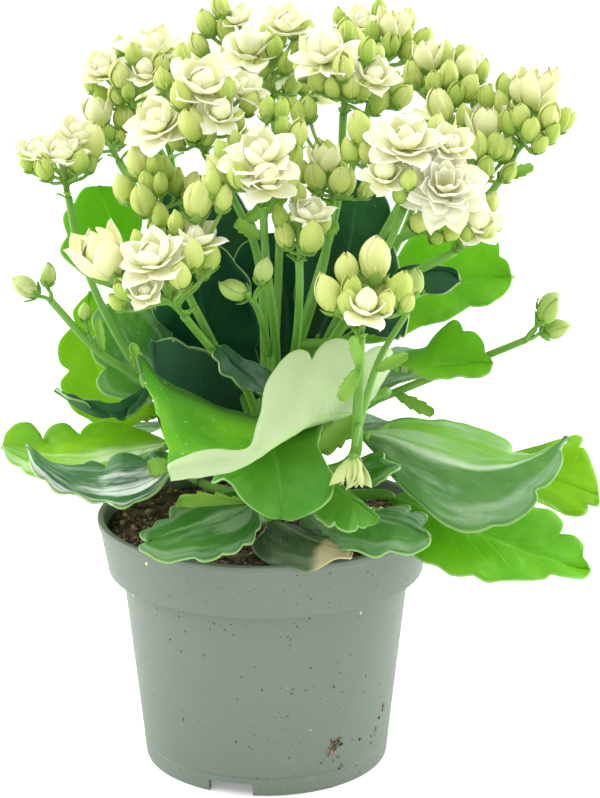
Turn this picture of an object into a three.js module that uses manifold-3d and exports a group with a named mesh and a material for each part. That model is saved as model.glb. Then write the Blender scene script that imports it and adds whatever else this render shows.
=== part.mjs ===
// Potted kalanchoe with double cream flowers, in a 12 cm nursery pot.
// Millimetres, +Z up. The origin is the middle of the pot's underside, and the viewer stands at -Y.
import * as THREE from "three";
import { mergeVertices } from "three/addons/utils/BufferGeometryUtils.js";
import Module from "manifold-3d";

const wasm = await Module();
wasm.setup();

// ---------------------------------------------------------------- driving dimensions
const clearance = 0.3; // between a piece and the neighbour that it rests on
const goldenAngle = THREE.MathUtils.degToRad(137.5);

const pot = {
  rimRadius: 60,
  height: 90,
  wall: 1.8,
  lip: 2.2, // height of the thickened band at the rim
  collarFoot: 70.5, // height of the collar's lower edge
  collarFootRadius: 56.3,
  shoulderRadius: 51.5, // outside of the wall just under the collar
  footRadius: 43.9,
  footWidth: 2.4,
  channelUnderside: 5,
  padRadius: 14, // flat disc in the middle that the pot also stands on
  bevel: 0.6, // rounded edges of the rim
  lipStep: 0.7, // how far the thickened band stands out of the collar
  padSlope: 2, // from the pad's edge up to the channel
  segments: 30,
};
const notch = { count: 3, width: 16, height: 4.6, depth: 8, firstAngle: -106 };
const drain = { count: 6, radius: 3.5, ring: 28, sides: 6 };
const soil = { edgeHeight: 85, middleHeight: 88, gap: 0.5, segments: 20 };
const trunk = {
  sides: 8,
  radius: 6, // in the soil
  bottom: 70,
  holeGap: 0.8, // round the trunk in the soil
};
trunk.outline = [[trunk.bottom, trunk.radius], [96, trunk.radius], [112, 8], [123, 4]]; // height and radius
const stalk = { thick: 2, thin: 1.6, sides: 4, balls: 24, freeBalls: 3 }; // radii at root and head
const leafStalk = { radii: [2, 1.8, 1.6], straight: 5, sides: 4 }; // straight: its end in line with the rib

const leafForm = {
  petiole: 0.07, // share of the length that is bare stalk
  rise: 0.85, // how fast the blade widens from the stalk
  close: 0.42, // how bluntly it closes at the tip
  stalkHalfWidth: 2.2,
  stalkThickness: 2.4,
  ribThickness: 1.7,
  marginThickness: 0.7,
  sweep: 0.34, // how far the margin leans towards the tip, for its distance from the rib
  notchDepth: 0.3,
};
const budForm = { pedicel: 0.8, radius: 3.9, length: 10.5, neck: 0.9, room: 4.85, sides: 4 };
const hubForm = { lift: 2.6, crown: 5, footRadius: 1.7, radius: 2.5, sides: 4 }; // where a head's stalks meet

// ---------------------------------------------------------------- plan of the leaves
// rib: from the stalk to the tip. face: the way the upper side looks at the stalk and at the tip.
// fold: angle of the left and the right half over the rib's plane, in degrees.
// edges: the left and the right margin of a leaf that rolls or twists, set by hand.
// stalk: where the leaf's own stalk leaves the stem. hidden: a leaf that takes fewer stations.
const leafPlan = [
  {
    name: "leaf_front_cup",
    rib: [[37, -30, 140], [12, -60, 137], [-8, -74, 131], [-29, -77, 127]],
    edges: [
      [[14, -30, 140], [-10, -42, 147], [-28, -42, 151], [-45, -36, 158]],
      [[39, -36, 162], [24, -54, 172], [4, -71, 161], [-30, -80, 132]],
    ],
    lobes: 4,
    stalk: [4, -4, 112],
  },
  {
    name: "leaf_front_apron",
    rib: [[0, -24, 126], [4, -56, 128], [9, -72, 108]],
    face: [[0, 0, 1], [0, -1, 0.5]],
    width: 42,
    lobes: 3,
    fold: [8, 4],
    stalk: [0, -2, 112],
  },
  {
    name: "leaf_soil_left",
    rib: [[-3, -34, 103], [-19, -52, 104], [-41, -64, 99]],
    face: [[-0.2, -0.3, 1], [-0.2, -0.5, 1]],
    width: 32,
    lobes: 4,
    fold: [-8, -6],
    stalk: [0, 0, 95],
  },
  {
    name: "leaf_withered",
    rib: [[2, -32, 97], [11, -44, 97], [25, -56, 94]],
    face: [[0, -0.3, 1], [0, -0.4, 1]],
    width: 24,
    hidden: true,
    lobes: 3,
    fold: [4, -10],
    stalk: [0, 0, 93],
  },
  {
    name: "leaf_soil_right",
    rib: [[14, -28, 103], [34, -46, 103], [57, -50, 101]],
    face: [[0, -0.2, 1], [0.1, -0.5, 1]],
    width: 27,
    lobes: 4,
    fold: [10, -4],
    stalk: [2, 0, 96],
  },
  {
    name: "leaf_small_front",
    rib: [[20, -36, 114], [28, -52, 113], [38, -62, 107]],
    face: [[0.2, -0.4, 1], [0.2, -0.7, 1]],
    width: 20,
    hidden: true,
    lobes: 4,
    stalk: [2, -2, 106],
  },
  {
    name: "leaf_tiny_right",
    rib: [[27, -27, 112], [35, -38, 116], [43, -45, 123]],
    face: [[-0.5, -0.3, 1], [-0.7, -0.4, 0.7]],
    width: 16,
    hidden: true,
    lobes: 3,
    fold: [20, 20],
    stalk: [3, -1, 101],
  },
  {
    name: "leaf_right_twisted",
    rib: [[33, -8, 121], [55, -22, 118], [76, -26, 113], [103, -16, 120]],
    edges: [
      [[39, 4, 121], [57, 6, 125], [78, 0, 120], [102, -12, 121]],
      [[42, -22, 117], [55, -42, 102], [81, -44, 98], [104, -22, 118]],
    ],
    lobes: 4,
    stalk: [2, 0, 114],
  },
  {
    name: "leaf_right_tip",
    rib: [[38, 14, 103], [80, 27, 98], [121, 20, 99]],
    face: [[0, -0.1, 1], [-0.3, -0.7, 0.7]],
    width: 40,
    hidden: true,
    lobes: 4,
    fold: [12, 12],
    stalk: [2, 2, 98],
  },
  {
    name: "leaf_right_low",
    rib: [[43, -18, 101], [66, -28, 95], [88, -33, 87], [110, -30, 82]],
    edges: [
      [[50, -2, 102], [72, -6, 100], [98, -14, 96], [111, -26, 85]],
      [[46, -36, 98], [59, -48, 86], [87, -48, 80], [111, -34, 80]],
    ],
    lobes: 5,
    stalk: [2, 0, 94],
  },
  {
    name: "leaf_left_trough",
    rib: [[-32, -38, 117], [-58, -42, 111], [-82, -24, 121]],
    face: [[0, -0.4, 1], [0.3, -0.5, 1]],
    width: 34,
    lobes: 5,
    fold: [26, 22],
    stalk: [-2, -2, 108],
  },
  {
    name: "leaf_left_backlit",
    rib: [[-34, 2, 114], [-55, 0, 112], [-73, 0, 111], [-92, 0, 114]],
    edges: [
      [[-36, -14, 113], [-57, -24, 107], [-78, -20, 107], [-93, -4, 113]],
      [[-38, 13, 115], [-61, 18, 117], [-80, 20, 118], [-94, 6, 115]],
    ],
    lobes: 4,
    stalk: [-2, 1, 104],
  },
  {
    name: "leaf_left_upright",
    rib: [[-38, 18, 121], [-56, 26, 127], [-64, 31, 144], [-65, 33, 163]],
    edges: [
      [[-46, 21, 119], [-68, 28, 121], [-78, 31, 141], [-67, 33, 163]],
      [[-40, 16, 127], [-47, 22, 138], [-52, 28, 153], [-63, 33, 164]],
    ],
    lobes: 4,
    stalk: [-2, 2, 112],
  },
  {
    name: "leaf_left_curled",
    rib: [[-40, -16, 141], [-52, -30, 134], [-71, -26, 141]],
    face: [[-0.2, -0.3, 1], [0, -0.5, 1]],
    width: 14,
    hidden: true,
    lobes: 3,
    fold: [55, 55],
    stalk: [-4, -2, 118],
  },
  {
    name: "leaf_left_scalloped",
    rib: [[-30, 5, 136], [-46, 8, 147], [-55, 10, 164]],
    face: [[0.4, -0.7, 0.6], [0.4, -0.9, 0.2]],
    width: 34,
    hidden: true,
    lobes: 4,
    stalk: [-3, 1, 118],
  },
  {
    name: "leaf_back_left_round",
    rib: [[-30, 24, 160], [-51, 32, 182], [-61, 36, 205]],
    face: [[0.2, -0.8, 0.5], [0.2, -0.9, 0.3]],
    width: 42,
    hidden: true,
    lobes: 4,
    stalk: [-10, 38, 150],
  },
  {
    name: "leaf_back_dark",
    rib: [[-16, 22, 160], [-26, 28, 182], [-32, 31, 206]],
    face: [[0.1, -0.9, 0.4], [0, -1, 0.2]],
    width: 34,
    hidden: true,
    lobes: 3,
    stalk: [-10, 38, 150],
  },
  {
    name: "leaf_back_right",
    rib: [[30, 8, 156], [48, 16, 162], [67, 23, 168], [88, 28, 174]],
    edges: [
      [[28, 14, 160], [45, 26, 178], [71, 36, 192], [87, 32, 179]],
      [[34, 2, 152], [48, 4, 153], [69, 12, 159], [88, 24, 170]],
    ],
    lobes: 4,
    stalk: [12, 4, 130],
  },
  {
    name: "leaf_right_mid",
    rib: [[44, 5, 167], [55, 4, 177], [68, 3, 182]],
    face: [[-0.3, -0.5, 0.8], [0, -0.8, 0.6]],
    width: 20,
    hidden: true,
    lobes: 3,
    stalk: [26, 8, 160],
  },
  {
    name: "leaf_right_upper",
    rib: [[44, -2, 143], [57, 0, 143], [68, 2, 144], [78, 2, 145]],
    edges: [
      [[46, 4, 144], [57, 8, 151], [69, 9, 159], [78, 4, 150]],
      [[46, -8, 143], [57, -13, 140], [70, -9, 140], [79, 0, 144]],
    ],
    hidden: true,
    lobes: 5,
    stalk: [6, 2, 122],
  },
  {
    name: "leaf_centre_tall",
    rib: [[18, 12, 150], [29, 18, 178], [36, 20, 204]],
    face: [[-0.1, -0.9, 0.3], [-0.1, -1, 0.1]],
    width: 36,
    hidden: true,
    lobes: 4,
    stalk: [5, 1, 127],
  },
  {
    name: "leaf_centre_edge",
    rib: [[6, -26, 137], [-4, -33, 147], [-13, -34, 157]],
    face: [[0.5, -0.5, 0.8], [0.6, -0.6, 0.5]],
    width: 16,
    hidden: true,
    lobes: 3,
    stalk: [2, -4, 116],
  },
  {
    name: "leaf_right_inner",
    rib: [[30, -4, 156], [40, -6, 162], [50, -8, 165]],
    face: [[-0.2, -0.5, 0.8], [0, -0.7, 0.7]],
    width: 22,
    hidden: true,
    lobes: 4,
    stalk: [12, 1, 151],
  },
  {
    name: "leaf_inner_left",
    rib: [[-10, 12, 127], [-20, 15, 150], [-28, 16, 177]],
    face: [[0.2, -0.9, 0.4], [0.2, -1, 0.2]],
    width: 40,
    hidden: true,
    lobes: 4,
    stalk: [-1, 2, 114],
  },
  {
    name: "leaf_inner_middle",
    rib: [[6, 16, 128], [8, 24, 156], [6, 28, 188]],
    face: [[0, -0.9, 0.4], [0, -1, 0.2]],
    width: 36,
    hidden: true,
    lobes: 4,
    stalk: [0, 2, 116],
  },
  {
    name: "leaf_inner_low",
    rib: [[-14, -8, 114], [-27, -17, 122], [-37, -26, 131]],
    face: [[0.3, 0, 1], [0.5, 0, 0.8]],
    width: 30,
    hidden: true,
    lobes: 4,
    stalk: [-2, -1, 110],
  },
];

// The side that the photograph hides carries the same leaves, fanned round the back.
const backFan = [
  { turn: 52, height: 106, reach: 92, tip: -8, width: 46 },
  { turn: 88, height: 98, reach: 90, tip: -6, width: 46 },
  { turn: 122, height: 105, reach: 92, tip: -8, width: 46 },
  { turn: 155, height: 98, reach: 88, tip: 0, width: 40 },
  { turn: 36, height: 121, reach: 80, tip: 14, width: 40 },
  { turn: 72, height: 113, reach: 76, tip: 14, width: 40 },
  { turn: 104, height: 112, reach: 78, tip: 14, width: 38 },
  { turn: 137, height: 117, reach: 78, tip: 8, width: 32 },
];

function fanLeaf({ turn, height, reach, tip, width }, index) {
  const out = (share, z) => {
    const angle = THREE.MathUtils.degToRad(turn);
    return [Math.cos(angle) * reach * share, Math.sin(angle) * reach * share, z];
  };
  const lean = out(0.004, 1);
  return {
    name: `leaf_back_${index + 1}`,
    rib: [out(0.3, height), out(0.66, height + 6 + tip / 3), out(1, height + tip)],
    face: [lean, lean],
    width,
    lobes: 4,
    hidden: true,
    fold: [6, 6],
    stalk: [0, 0, Math.max(height - 12, 94)],
  };
}

// ---------------------------------------------------------------- plan of the flower heads
// path: the stalk, from where it leaves the trunk or a lower stalk up to the head.
// blooms: middle, radius and how far each is open. buds: most that are set over the head's dome.
// reach: from the head's hub to a bud. spread: half angle of the dome, in degrees.
const headPlan = [
  {
    name: "head_far_left",
    path: [[-3, 1, 114], [-22, 0, 120], [-40, -2, 137], [-53, 0, 157], [-64, 3, 183], [-68, 5, 203]],
    blooms: [[-69, -4, 220, 8, 0.3], [-80, 6, 219, 7, 0.2], [-62, 12, 221, 7, 0.2]],
    buds: 8,
    reach: 15,
    spread: 100,
  },
  {
    name: "head_left_back",
    path: [[-3, 7, 112], [-4, 24, 126], [-10, 38, 150], [-26, 44, 190], [-45, 32, 227]],
    blooms: [[-38, 28, 252, 12, 0.8], [-57, 30, 245, 10.5, 0.6]],
    buds: 8,
    reach: 16,
    spread: 90,
  },
  {
    name: "head_left_small",
    path: [[-28, -11, 176], [-40, 0, 198], [-51, 14, 214]],
    blooms: [],
    buds: 6,
    reach: 11,
    spread: 60,
  },
  {
    name: "head_front_left",
    path: [[-1, -3, 118], [0, -6, 150], [-2, -8, 183], [-10, -10, 204], [-20, -12, 221]],
    blooms: [
      [-34, -22, 233, 13, 1],
      [-20, -16, 247, 12.5, 0.9],
      [-12, -25, 236, 9, 0.4],
      [-5, -8, 243, 9.5, 0.5],
    ],
    buds: 7,
    reach: 15,
    spread: 85,
  },
  {
    name: "head_top_left",
    path: [[0, 5, 116], [4, 14, 160], [5, 22, 205], [2, 25, 235]],
    blooms: [[-11, 27, 259, 10, 0.6], [-5, 13, 252, 11, 0.8], [9, 30, 261, 10, 0.6]],
    buds: 7,
    reach: 16,
    spread: 90,
  },
  {
    name: "head_top_middle",
    path: [[3, 1, 118], [14, 2, 160], [25, 2, 200], [27, 1, 232]],
    blooms: [[20, -6, 255, 14, 1], [38, -6, 248, 10, 0.6], [36, 10, 254, 9, 0.5]],
    buds: 7,
    reach: 15,
    spread: 85,
  },
  {
    name: "head_top_right",
    path: [[3, 7, 112], [6, 26, 126], [14, 40, 150], [28, 46, 195], [39, 42, 236]],
    blooms: [[31, 38, 260, 10, 0.7], [48, 43, 258, 9.5, 0.6]],
    buds: 8,
    reach: 16,
    spread: 90,
  },
  {
    name: "head_right_back",
    path: [[4, 2, 116], [26, 8, 160], [48, 15, 200], [61, 18, 226]],
    blooms: [[56, 12, 246, 7.5, 0.3], [70, 20, 243, 7.5, 0.4]],
    buds: 8,
    reach: 14,
    spread: 90,
  },
  {
    name: "head_far_right",
    path: [[36, 11, 181], [56, 9, 192], [76, 6, 202], [86, 5, 217]],
    blooms: [[84, 1, 237, 8, 0.4], [96, 8, 235, 7.5, 0.3]],
    buds: 9,
    reach: 15,
    spread: 100,
  },
  {
    name: "head_front_right",
    path: [[4, -3, 118], [20, -10, 150], [38, -19, 182], [47, -27, 205]],
    blooms: [[47, -27, 231, 13, 0.9], [60, -43, 214, 14.5, 1], [37, -38, 218, 9, 0.5]],
    buds: 7,
    reach: 14,
    spread: 90,
  },
  {
    name: "head_right",
    path: [[54, 6, 191], [66, 1, 198], [74, 0, 207]],
    blooms: [[77, 0, 225, 7.5, 0.3]],
    buds: 7,
    reach: 12,
    spread: 95,
  },
  {
    name: "head_right_low",
    path: [[33, -16, 172], [50, -20, 181], [64, -27, 190]],
    blooms: [[73, -29, 203, 9, 0.5]],
    buds: 6,
    reach: 11,
    spread: 95,
  },
  {
    name: "head_centre",
    path: [[1, -4, 118], [4, -18, 152], [1, -27, 186], [0, -32, 206]],
    blooms: [[-1, -36, 226, 13, 0.9], [3, -46, 215, 9, 0.6]],
    buds: 7,
    reach: 13,
    spread: 100,
  },
  {
    name: "head_centre_right",
    path: [[11, 2, 148], [20, -7, 180], [23, -12, 202]],
    blooms: [],
    buds: 7,
    reach: 11,
    spread: 85,
  },
  {
    name: "head_centre_low",
    path: [[2, -4, 118], [10, -20, 152], [12, -29, 174], [12, -32, 188]],
    blooms: [[17, -37, 204, 8, 0.6]],
    buds: 5,
    reach: 11,
    spread: 70,
  },
  {
    name: "head_left_front",
    path: [[0, -5, 118], [-6, -20, 140], [-13, -27, 151], [-20, -36, 162], [-26, -44, 172]],
    blooms: [
      [-37, -53, 194, 13, 0.9],
      [-21, -42, 198, 12, 0.8],
      [-51, -45, 189, 9, 0.4],
      [-38, -60, 180, 9.5, 0.7],
    ],
    buds: 7,
    reach: 14,
    spread: 95,
  },
  {
    name: "head_left_middle",
    path: [[-2, -2, 118], [-16, -8, 150], [-28, -11, 176], [-34, -12, 194]],
    blooms: [[-43, -9, 216, 7.5, 0.3]],
    buds: 8,
    reach: 13,
    spread: 95,
  },
  {
    name: "head_front_low",
    path: [[2, -3, 106], [20, -30, 114], [30, -46, 124], [31, -58, 142], [32, -60, 169]],
    blooms: [[35, -66, 181, 10, 0.8]],
    buds: 7,
    reach: 11,
    spread: 80,
  },
  {
    name: "head_rear_left",
    path: [[-3, 6, 108], [-14, 40, 136], [-30, 58, 180], [-36, 64, 208]],
    blooms: [[-38, 70, 228, 13, 0.9], [-52, 62, 217, 10, 0.5]],
    buds: 7,
    reach: 15,
    spread: 90,
  },
  {
    name: "head_rear_middle",
    path: [[0, 7, 106], [0, 44, 132], [4, 58, 180], [6, 62, 218]],
    blooms: [[2, 66, 240, 13, 1], [19, 70, 231, 10, 0.5]],
    buds: 7,
    reach: 15,
    spread: 90,
  },
  {
    name: "head_rear_right",
    path: [[4, 5, 108], [24, 40, 134], [48, 52, 176], [58, 55, 202]],
    blooms: [[62, 62, 222, 13, 0.9], [76, 54, 212, 10, 0.6]],
    buds: 7,
    reach: 15,
    spread: 90,
  },
];

// ---------------------------------------------------------------- plan of the thin side stems
// path and radius of each, with the buds or the small toothed leaves that grow on it.
const sprigPlan = [
  {
    path: [[-14, 0, 119], [-40, -5, 138], [-58, -10, 152], [-73, -13, 170]],
    radius: 1.3,
    buds: [[-81, -15, 175], [-74, -10, 178]],
  },
  { path: [[-58, -10, 152], [-61, -11, 158]], radius: 1, buds: [[-62, -10, 165]] },
  {
    path: [[3, 1, 118], [30, 6, 126], [60, 11, 137], [78, 9, 145], [91, 0, 153]],
    radius: 1.3,
    buds: [[101, -1, 157], [98, -5, 164], [99, 2, 166]],
  },
  {
    path: [[2, -17, 152], [-1, -30, 168], [-3, -36, 175]],
    radius: 1,
    buds: [[-9, -42, 180], [0, -38, 185]],
  },
  { path: [[31, -52, 134], [38, -44, 156], [48, -38, 172]], radius: 1, buds: [[50, -38, 181]] },
  { path: [[31, -54, 136], [31, -64, 139], [30, -68, 134]], radius: 0.9, buds: [[29, -69, 126]] },
];
const bractPlan = [
  { root: [31, -59, 158], tip: [26, -64, 164], width: 5 },
  { root: [31, -57, 146], tip: [25, -64, 144], width: 6 },
  { root: [80, 5.6, 208], tip: [86, 2, 201], width: 4 },
  { root: [45, 8, 131], tip: [59, 1, 126], width: 8 },
];

// ---------------------------------------------------------------- solids
const point = (list) => new THREE.Vector3(...list);
const degrees = THREE.MathUtils.degToRad;

function solidOf(geometry) {
  const bare = geometry.clone();
  bare.deleteAttribute("normal");
  bare.deleteAttribute("uv");
  const merged = mergeVertices(bare);
  const triVerts = new Uint32Array(merged.index.array);
  const vertProperties = merged.attributes.position.array;
  return new wasm.Manifold(new wasm.Mesh({ numProp: 3, vertProperties, triVerts }));
}

function geometryOf(solid) {
  const mesh = solid.getMesh();
  const geometry = new THREE.BufferGeometry();
  geometry.setAttribute("position", new THREE.BufferAttribute(mesh.vertProperties, 3));
  geometry.setIndex(new THREE.BufferAttribute(mesh.triVerts, 1));
  return geometry;
}

const joined = (solids) => solids.reduce((whole, next) => whole.add(next));

function indexed(vertices, triangles) {
  const geometry = new THREE.BufferGeometry();
  const flat = vertices.flatMap((v) => [v.x, v.y, v.z]);
  geometry.setAttribute("position", new THREE.Float32BufferAttribute(flat, 3));
  geometry.setIndex(triangles.flat());
  return geometry;
}

// A point on the smooth rail through three or four evenly spaced points, read at 0 to 1.
function onRail(points, share) {
  const last = points.length - 1;
  const at = new THREE.Vector3();
  points.forEach((p, i) => {
    let weight = 1;
    for (let j = 0; j <= last; j += 1) {
      if (j !== i) weight *= (share * last - j) / (i - j);
    }
    at.addScaledVector(point(p), weight);
  });
  return at;
}

function railDirection(points, share) {
  const step = 0.01;
  return onRail(points, share + step).sub(onRail(points, share - step)).normalize();
}

// A closed skin over rings of equally many points, ended by an apex point or by a flat face.
function skin(rings, startApex, endApex) {
  const sides = rings[0].length;
  const vertices = rings.flat();
  const triangles = [];
  for (let i = 0; i + 1 < rings.length; i += 1) {
    for (let k = 0; k < sides; k += 1) {
      const a = i * sides + k;
      const b = i * sides + ((k + 1) % sides);
      triangles.push([a, b, b + sides], [a, b + sides, a + sides]);
    }
  }
  const last = (rings.length - 1) * sides;
  const cap = (first, apex, fan) => {
    const tip = apex && vertices.push(apex) - 1;
    for (let k = apex ? 0 : 1; k < (apex ? sides : sides - 1); k += 1) {
      fan(first + k, first + ((k + 1) % sides), apex ? tip : first);
    }
  };
  cap(0, startApex, (a, b, c) => triangles.push([c, b, a]));
  cap(last, endApex, (a, b, c) => triangles.push([a, b, c]));
  return solidOf(indexed(vertices, triangles));
}

// A closed rod through the given points, of its own radius at each; a last radius of 0 is a point.
function rod(points, radii, sides) {
  const pointed = radii.at(-1) === 0;
  const start = points[1].clone().sub(points[0]).normalize();
  let side = new THREE.Vector3(1, 0, 0);
  if (Math.abs(start.x) > 0.8) side = new THREE.Vector3(0, 1, 0);
  const rings = points.slice(0, pointed ? -1 : undefined).map((middle, i) => {
    const before = points[Math.max(i - 1, 0)];
    const after = points[Math.min(i + 1, points.length - 1)];
    const along = after.clone().sub(before).normalize();
    side = side.clone().addScaledVector(along, -side.dot(along)).normalize();
    return ring(middle, side, along.clone().cross(side), sides, () => [radii[i], 0], along);
  });
  return skin(rings, null, pointed ? points.at(-1) : null);
}

// A ring about an axis; shape gives each point's distance from the axis and its height along it.
function ring(middle, side, across, sides, shape, axis) {
  return Array.from({ length: sides }, (_, k) => {
    const angle = (k * 2 * Math.PI) / sides;
    const [out, up] = shape(k);
    return middle
      .clone()
      .addScaledVector(side, Math.cos(angle) * out)
      .addScaledVector(across, Math.sin(angle) * out)
      .addScaledVector(axis, up);
  });
}

// ---------------------------------------------------------------- leaves
// Half width of a blade as a share of its widest, along its length.
function bladeOutline(share) {
  const { petiole, rise, close } = leafForm;
  const q = Math.max(share - petiole, 0) / (1 - petiole);
  const widest = rise / (rise + close);
  const most = widest ** rise * (1 - widest) ** close;
  return (q ** rise * (1 - Math.min(q, 1)) ** close) / most;
}

// The margin's scallops: 1 on each lobe's crest, less in the notch between two lobes.
const scallop = (phase) => 1 - leafForm.notchDepth * (1 - Math.sqrt(Math.sin(Math.PI * phase)));

// The middle surface of a leaf. u runs from -1 on the left margin over 0 on the rib to 1 on the right.
function bladePoint(leaf, share, phase, u) {
  const [left = 0, right = 0] = leaf.fold ?? [];
  const onRib = onRail(leaf.rib, share);
  if (u === 0) return onRib;
  const cut = scallop(phase);
  const reach = Math.abs(u);
  if (leaf.edges) {
    const edge = onRail(leaf.edges[u < 0 ? 0 : 1], share);
    return onRib.lerp(edge, reach * cut * Math.min(1, 0.1 + share / leafForm.petiole / 2));
  }
  const along = railDirection(leaf.rib, share);
  const face = point(leaf.face[0]).lerp(point(leaf.face[1]), share);
  const side = along.clone().cross(face).normalize();
  const lift = side.clone().cross(along);
  const half = Math.max((leaf.width / 2) * bladeOutline(share) * cut, leafForm.stalkHalfWidth);
  const angle = degrees(u < 0 ? left : right) * Math.min(1, share * 3);
  const bend = Math.sign(u) * Math.cos(angle) * reach * half;
  return onRib
    .addScaledVector(side, bend)
    .addScaledVector(lift, Math.sin(angle) * reach * half)
    .addScaledVector(along, leafForm.sweep * reach * (half - leafForm.stalkHalfWidth) * (1 - share ** 3));
}

function leafSolid(leaf) {
  const columns = [-1, 0, 1];
  const phases = leaf.hidden ? [0.02, 0.5] : [0.02, 0.4, 0.75];
  const rows = [];
  for (let lobe = 0; lobe < leaf.lobes; lobe += 1) {
    for (const phase of phases) {
      const q = (lobe + phase) / leaf.lobes;
      rows.push([leafForm.petiole + (1 - leafForm.petiole) * q, phase]);
    }
  }
  rows.unshift([0, 0.5]);
  rows.push([1, 0.9]);
  const { stalkThickness, ribThickness, marginThickness } = leafForm;
  const grid = rows.map(([share, phase]) => columns.map((u) => bladePoint(leaf, share, phase, u)));
  const tops = [];
  const bottoms = [];
  grid.forEach((row, i) => {
    row.forEach((p, j) => {
      const ahead = grid[Math.min(i + 1, grid.length - 1)][j].clone().sub(grid[Math.max(i - 1, 0)][j]);
      const across = row[Math.min(j + 1, row.length - 1)].clone().sub(row[Math.max(j - 1, 0)]);
      const normal = across.cross(ahead).normalize();
      const rim = marginThickness + (ribThickness - marginThickness) * (1 - Math.abs(columns[j]));
      const thickness = i === 0 ? stalkThickness : rim;
      tops.push(p.clone().addScaledVector(normal, thickness / 2));
      bottoms.push(p.clone().addScaledVector(normal, -thickness / 2));
    });
  });
  return solidOf(blade(tops, bottoms, grid.length, columns.length));
}

// A closed blade between two grids of points, split into triangles alike on both faces.
function blade(tops, bottoms, rowCount, columnCount) {
  const triangles = [];
  const under = tops.length;
  const id = (i, j) => i * columnCount + j;
  const middle = (columnCount - 1) / 2;
  for (let i = 0; i + 1 < rowCount; i += 1) {
    for (let j = 0; j + 1 < columnCount; j += 1) {
      const [a, b, c, d] = [id(i, j), id(i, j + 1), id(i + 1, j + 1), id(i + 1, j)];
      const halves = j < middle ? [[a, b, d], [b, c, d]] : [[a, b, c], [a, c, d]];
      for (const [p, q, r] of halves) triangles.push([p, q, r], [under + r, under + q, under + p]);
    }
  }
  const wall = (a, b) => triangles.push([b, a, under + a], [b, under + a, under + b]);
  const last = columnCount - 1;
  for (let j = 0; j < last; j += 1) {
    wall(id(0, j), id(0, j + 1));
    wall(id(rowCount - 1, j + 1), id(rowCount - 1, j));
  }
  for (let i = 0; i + 1 < rowCount; i += 1) {
    wall(id(i, last), id(i + 1, last));
    wall(id(i + 1, 0), id(i, 0));
  }
  return indexed([...tops, ...bottoms], triangles);
}

// ---------------------------------------------------------------- buds and blooms
// What has been placed, as balls, so that a bud that would touch a neighbour is left out.
const placed = [];

function isClear(at, radius, owner) {
  return placed.every((ball) => {
    const room = ball.owner === owner ? 0.8 * (ball.radius + radius) : ball.radius + radius + clearance;
    return ball.at.distanceTo(at) > room;
  });
}

function place(at, radius, owner) {
  placed.push({ at, radius, owner });
}

// A pointed bud on its stalk, from the hub to the bud's middle.
function budSolid(hub, middle) {
  const { pedicel, radius, length, neck, sides } = budForm;
  const along = middle.clone().sub(hub).normalize();
  const at = (offset) => middle.clone().addScaledVector(along, offset * length);
  return rod([hub, at(-0.5), at(-0.05), at(0.5)], [pedicel, neck, radius, 0], sides);
}

// The cups of a double bloom from the outside in. Each has the distance from the axis and the height of
// its petals' tips and of the notches between them, as shares of the radius, and where its first tip is.
function bloomCups(open) {
  const spread = 0.5 * open;
  const outer = { tips: [0.5 + spread, 0.5 - spread], notches: [0.42 + 0.7 * spread, -0.1], first: 0 };
  const well = { tips: [0.4, -0.06], notches: [0.4, -0.06], first: 0 };
  const inner = { tips: [0.3 + 0.36 * open, 0.52 - 0.12 * open], notches: [0.5, 0.26], first: 1 };
  const innerWell = { tips: [0.22, 0.16], notches: [0.22, 0.16], first: 0 };
  const heart = { tips: [0.25, 0.55], notches: [0.15, 0.3], first: 0 };
  return open > 0.5 ? [outer, well, inner, innerWell, heart] : [outer, well, heart];
}

// A double bloom: pointed petals in thin star-shaped cups, one within the other, round a closed heart.
function bloomSolids(hub, [x, y, z, radius, open]) {
  const middle = new THREE.Vector3(x, y, z);
  const axis = middle.clone().sub(hub).normalize();
  const at = (up) => middle.clone().addScaledVector(axis, up * radius);
  const petals = radius > 10 ? 5 : 4;
  const side = new THREE.Vector3(0.3, 1, 0.2).cross(axis).normalize();
  const across = axis.clone().cross(side);
  const rings = bloomCups(open).map(({ tips, notches, first }) => {
    const shape = (k) => (k % 2 === first ? tips : notches).map((share) => share * radius);
    return ring(middle, side, across, petals * 2, shape, axis);
  });
  const pedicel = rod([hub, at(-0.6)], [budForm.pedicel, budForm.neck], 3);
  return [pedicel, skin(rings, at(-0.85), at(0.36))];
}

function headSolid(head) {
  const hub = point(head.path.at(-1));
  const axis = hub.clone().sub(point(head.path.at(-2))).normalize();
  const along = (distance) => hub.clone().addScaledVector(axis, distance);
  const start = along(hubForm.lift);
  const middle = [along(clearance), start, along(hubForm.crown)];
  const solids = [rod(middle, [hubForm.footRadius, hubForm.radius, 0], hubForm.sides)];
  for (const bloom of head.blooms) solids.push(...bloomSolids(start, bloom));
  for (const bud of budMiddles(head, start, axis)) solids.push(budSolid(start, bud));
  return joined(solids);
}

// Buds stand over the head's dome by the golden angle, where there is room for them.
function budMiddles(head, start, axis) {
  const dome = axis.clone().add(new THREE.Vector3(0, 0, 0.6)).normalize();
  const side = new THREE.Vector3(1, 0, 0).cross(dome).normalize();
  const middles = [];
  for (let k = 0; k < head.buds; k += 1) {
    const lean = degrees(head.spread) * Math.sqrt((k + 0.5) / head.buds);
    const out = side.clone().applyAxisAngle(dome, k * goldenAngle);
    const way = dome.clone().multiplyScalar(Math.cos(lean)).addScaledVector(out, Math.sin(lean));
    const middle = start.clone().addScaledVector(way, head.reach * (k % 2 ? 0.86 : 1));
    const halfway = start.clone().lerp(middle, 0.5);
    if (isClear(middle, budForm.room, head.name) && isClear(halfway, 1, head.name)) {
      place(middle, budForm.room, head.name);
      middles.push(middle);
    }
  }
  return middles;
}

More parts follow.
